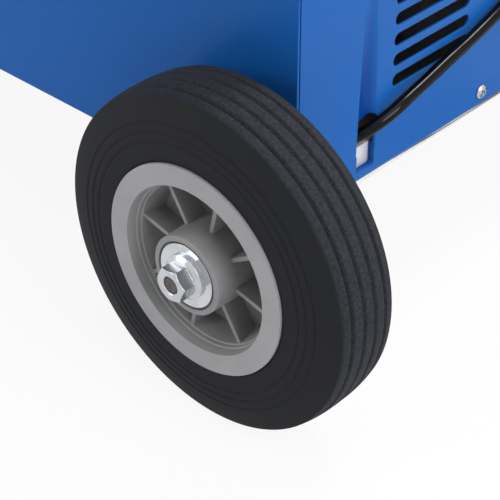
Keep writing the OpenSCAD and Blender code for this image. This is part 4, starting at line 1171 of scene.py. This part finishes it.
@dataclass
class Castors(Assembly):
    """Ball races and fixing bolts of the front castors."""

    swivel: Pair = (105.0, -230.5)
    plate_z: float = 123.0
    plate_t: float = 3.0
    bolt_x: float = 36.0
    bolt_y: float = 31.0
    bolt_across: float = 10.0
    bolt_h: float = 4.5
    bolt_turn: float = 0.2
    washer: Tuple[Pair, ...] = ((6.6, 0), (6.6, 0.8), (3, 0.8))
    race_r: Pair = (21.5, 25.0)
    race_z: Pair = (-6.0, -3.0)

    def build(self, paints: Paintbox) -> None:
        """Makes the bolts and race covers of both castors."""
        bolts, races = [], []
        for x in (-self.swivel[0], self.swivel[0]):
            y = self.swivel[1]
            for dx in (-self.bolt_x, self.bolt_x):
                turn = self.bolt_turn * dx
                for dy in (-self.bolt_y, self.bolt_y):
                    at = (x + dx, y + dy, self.plate_z - self.plate_t)
                    bolts.append(hex_head(at, Axis.MINUS_Z, self.bolt_across, self.bolt_h, turn))
                    bolts.append(turned(self.washer, at, Axis.MINUS_Z, 28))
            races.append(turned(ring_band(*self.race_r, *self.race_z), (x, y, self.plate_z), Axis.Z, 56))
        paints.settle(joined("castor_bolts", bolts, bevel=EDGE), "chassis", "zinc")
        paints.settle(joined("castor_race_covers", races), "chassis", "zinc")


@dataclass(frozen=True)
class Dial:
    """Dial round one knob."""

    name: str
    body: str
    x: float
    radius: float
    grip: float
    ticks: int
    numbers: Sequence[int]


@dataclass
class Controls(Assembly):
    """Printed scales, pointers and marks of the front controls."""

    dials: Tuple[Dial, ...] = (
        Dial("voltage", "voltage", -20.0, 28.5, 20.0, 15, range(1, 9)),
        Dial("wire_speed", "speed", 85.0, 24.5, 16.0, 21, range(0, 11)),
    )
    face_y: float = -310.5
    dial_z: float = 429.7
    sweep: float = 270.0
    short_tick: Pair = (0.35, 2.6)
    long_tick: Pair = (0.49, 4.2)
    tick_y: Pair = (-0.12, 0.02)
    number_out: float = 9.0
    number_y: float = -0.04
    number_size: float = 6.8
    number_half: float = 0.06
    knob_h: float = 17.5
    pointer_half: float = 0.7
    pointer_y: Pair = (-0.35, 0.1)
    pointer_z: Pair = (3.2, -0.6)
    rocker: Point = (-110.0, -301.0, 429.7)
    rocker_tilt: float = 24.0
    rocker_face: Pair = (10.7, 10.88)
    bar_half: float = 0.4
    bar_z: Pair = (2.2, 6.2)
    ring_r: Pair = (1.5, 2.2)
    ring_z: float = -4.2
    lamp_x: Pair = (-107.0, -83.0)
    lamp_z: float = 374.7
    bezel_r: Pair = (6.4, 8.2)
    bezel_h: float = 1.8

    def angle(self, place: int, count: int) -> float:
        """Turn in radians of one of several marks round a dial."""
        return math.radians(self.sweep * (place / (count - 1) - 0.5))

    def scale(self, dial: Dial) -> bpy.types.Object:
        """Makes the tick marks round one dial.

        Args:
            dial: The dial.

        Returns:
            The ticks as one piece.
        """
        shapes = []
        every = (dial.ticks - 1) // (len(dial.numbers) - 1)
        middle = Matrix.Translation((dial.x, self.face_y, self.dial_z))
        for i in range(dial.ticks):
            half, reach = self.short_tick if i % every else self.long_tick
            bar = plate_box((-half, self.tick_y[0], 0), (half, self.tick_y[1], reach))
            turn = Matrix.Rotation(self.angle(i, dial.ticks), 4, "Y")
            shapes.append(moved(bar, middle @ turn @ Matrix.Translation((0, 0, dial.radius))))
        return joined(dial.name + "_scale", shapes, False)

    def numbers(self, dial: Dial) -> bpy.types.Object:
        """Makes the numbers round one dial.

        Args:
            dial: The dial.

        Returns:
            The numbers as one mesh piece.
        """
        shapes = []
        radius = dial.radius + self.number_out
        for i, number in enumerate(dial.numbers):
            a = self.angle(i, len(dial.numbers))
            data = bpy.data.curves.new("digit", "FONT")
            data.body = str(number)
            data.size = self.number_size * MM
            data.extrude = self.number_half * MM
            data.resolution_u = 3
            data.align_x, data.align_y = "CENTER", "CENTER"
            digit = bpy.data.objects.new("digit", data)
            bpy.context.scene.collection.objects.link(digit)
            place = Vector((dial.x + radius * math.sin(a), self.face_y + self.number_y,
                            self.dial_z + radius * math.cos(a)))
            digit.matrix_world = Matrix.Translation(place * MM) @ Matrix.Rotation(math.radians(90), 4, "X")
            bpy.context.view_layer.update()
            mesh = digit.evaluated_get(bpy.context.evaluated_depsgraph_get()).to_mesh()
            shapes.append(([digit.matrix_world @ v.co / MM for v in mesh.vertices],
                           [list(p.vertices) for p in mesh.polygons]))
            bpy.data.objects.remove(digit)
        return joined(dial.name + "_numbers", shapes, False)

    def build(self, paints: Paintbox) -> None:
        """Makes scales, pointers, rocker marks and lamp bezels."""
        for dial in self.dials:
            paints.settle(self.scale(dial), "chassis", "fascia_plastic", INK)
            paints.settle(self.numbers(dial), "chassis", "fascia_plastic", INK)
        low, high = (self.face_y - self.knob_h + step for step in self.pointer_y)
        for dial in self.dials:
            bar = plate_box((dial.x - self.pointer_half, low, self.dial_z + self.pointer_z[0]),
                            (dial.x + self.pointer_half, high, self.dial_z + dial.grip + self.pointer_z[1]))
            paints.settle(joined(dial.body + "_pointer", [bar], False), dial.body, "knob_plastic", INK)
        self.rocker_marks(paints)
        band = ring_band(*self.bezel_r, 0.0, self.bezel_h)
        bezels = [turned(band, (x, self.face_y, self.lamp_z), Axis.MINUS_Y, 40) for x in self.lamp_x]
        paints.settle(joined("lamp_bezels", bezels), "chassis", "zinc")

    def rocker_marks(self, paints: Paintbox) -> None:
        """Makes the bar and ring on the two faces of the rocker.

        Args:
            paints: Materials of the finishes.
        """
        lower = Matrix.Translation(self.rocker)
        upper = lower @ Matrix.Rotation(math.radians(self.rocker_tilt), 4, "X")
        low, high = self.rocker_face
        bar = plate_box((-self.bar_half, -high, self.bar_z[0]), (self.bar_half, -low, self.bar_z[1]))
        ring = turned(ring_band(*self.ring_r, low, high), (0, 0, self.ring_z), Axis.MINUS_Y, 32)
        marks = joined("rocker_marks", [moved(bar, upper), moved(ring, lower)], False)
        paints.settle(marks, "rocker", "knob_plastic", INK)


@dataclass
class Handle(Assembly):
    """Fixing screws of the handle's flanges."""

    x: float = 110.0
    y: float = -240.5
    top: float = 529.7
    circle_r: float = 18.2
    head: Tuple[Pair, ...] = ((3.6, 0), (3.6, 0.6), (3.0, 1.6), (1.8, 2.1))

    def build(self, paints: Paintbox) -> None:
        """Makes four screws in each flange."""
        screws = []
        for x in (-self.x, self.x):
            for k in range(4):
                a = math.radians(45 + 90 * k)
                at = (x + self.circle_r * math.cos(a), self.y + self.circle_r * math.sin(a), self.top)
                screws.append(turned(self.head, at, Axis.Z, 24))
        paints.settle(joined("handle_screws", screws), "chassis", "zinc")


@dataclass
class TorchSocket(Assembly):
    """Contacts and insulating face of the torch connector."""

    x: float = -40.0
    z: float = 249.7
    nose_y: float = -340.0
    flange_y: float = -309.5
    ring_r: Pair = (5.2, 8.6)
    ring_t: float = 0.6
    pin_x: float = 11.0
    screw_out: float = 22.5
    pin: Tuple[Pair, ...] = ((1.1, -12), (1.1, -1.2), (0.7, -0.6))
    head: Tuple[Pair, ...] = ((3.6, 0), (3.6, 0.7), (2.9, 1.7), (1.6, 2.2))

    def build(self, paints: Paintbox) -> None:
        """Makes the face ring, contact pins and flange screws."""
        band = ring_band(*self.ring_r, -self.ring_t, 0.0)
        ring = turned(band, (self.x, self.nose_y, self.z), Axis.MINUS_Y, 48)
        paints.settle(joined("torch_face_ring", [ring]), "chassis", "knob_plastic")
        pins = [turned(self.pin, (self.x + dx, self.nose_y, self.z), Axis.MINUS_Y, 20)
                for dx in (-self.pin_x, self.pin_x)]
        paints.settle(joined("torch_contact_pins", pins), "chassis", "brass")
        steps = (-self.screw_out, self.screw_out)
        screws = [turned(self.head, (self.x + dx, self.flange_y, self.z + dz), Axis.MINUS_Y, 28)
                  for dx in steps for dz in steps]
        paints.settle(joined("torch_flange_screws", screws), "chassis", "zinc")


class Machine:
    """Whole machine: puts finishes on the solids and adds the fine pieces."""

    def __init__(self) -> None:
        """Gathers the sub-assemblies."""
        self.paints = Paintbox()
        self.parts = (MainsCord(), RearWheels(), Castors(), Controls(), Handle(), TorchSocket())

    def dress_solids(self) -> None:
        """Puts a finish on every solid of the frame."""
        for sub in frame["record"]["subparts"]:
            name = sub["node"]
            finish = SPECIAL.get(name, FINISHES[sub["material_slot"]])
            self.paints.paint(frame["nodes"][name], finish)
            log.info("solid %s in %s", name, finish.name)

    def build(self) -> None:
        """Dresses the solids, then builds each sub-assembly."""
        self.dress_solids()
        for part in self.parts:
            part.build(self.paints)
            log.info("built %s", type(part).__name__)


def main() -> None:
    """Builds camera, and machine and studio."""
    logging.basicConfig(level=logging.INFO, format="%(name)s: %(message)s")
    PhotoCamera().build()
    Machine().build()
    Studio().build()


if __name__ == "__main__":
    main()
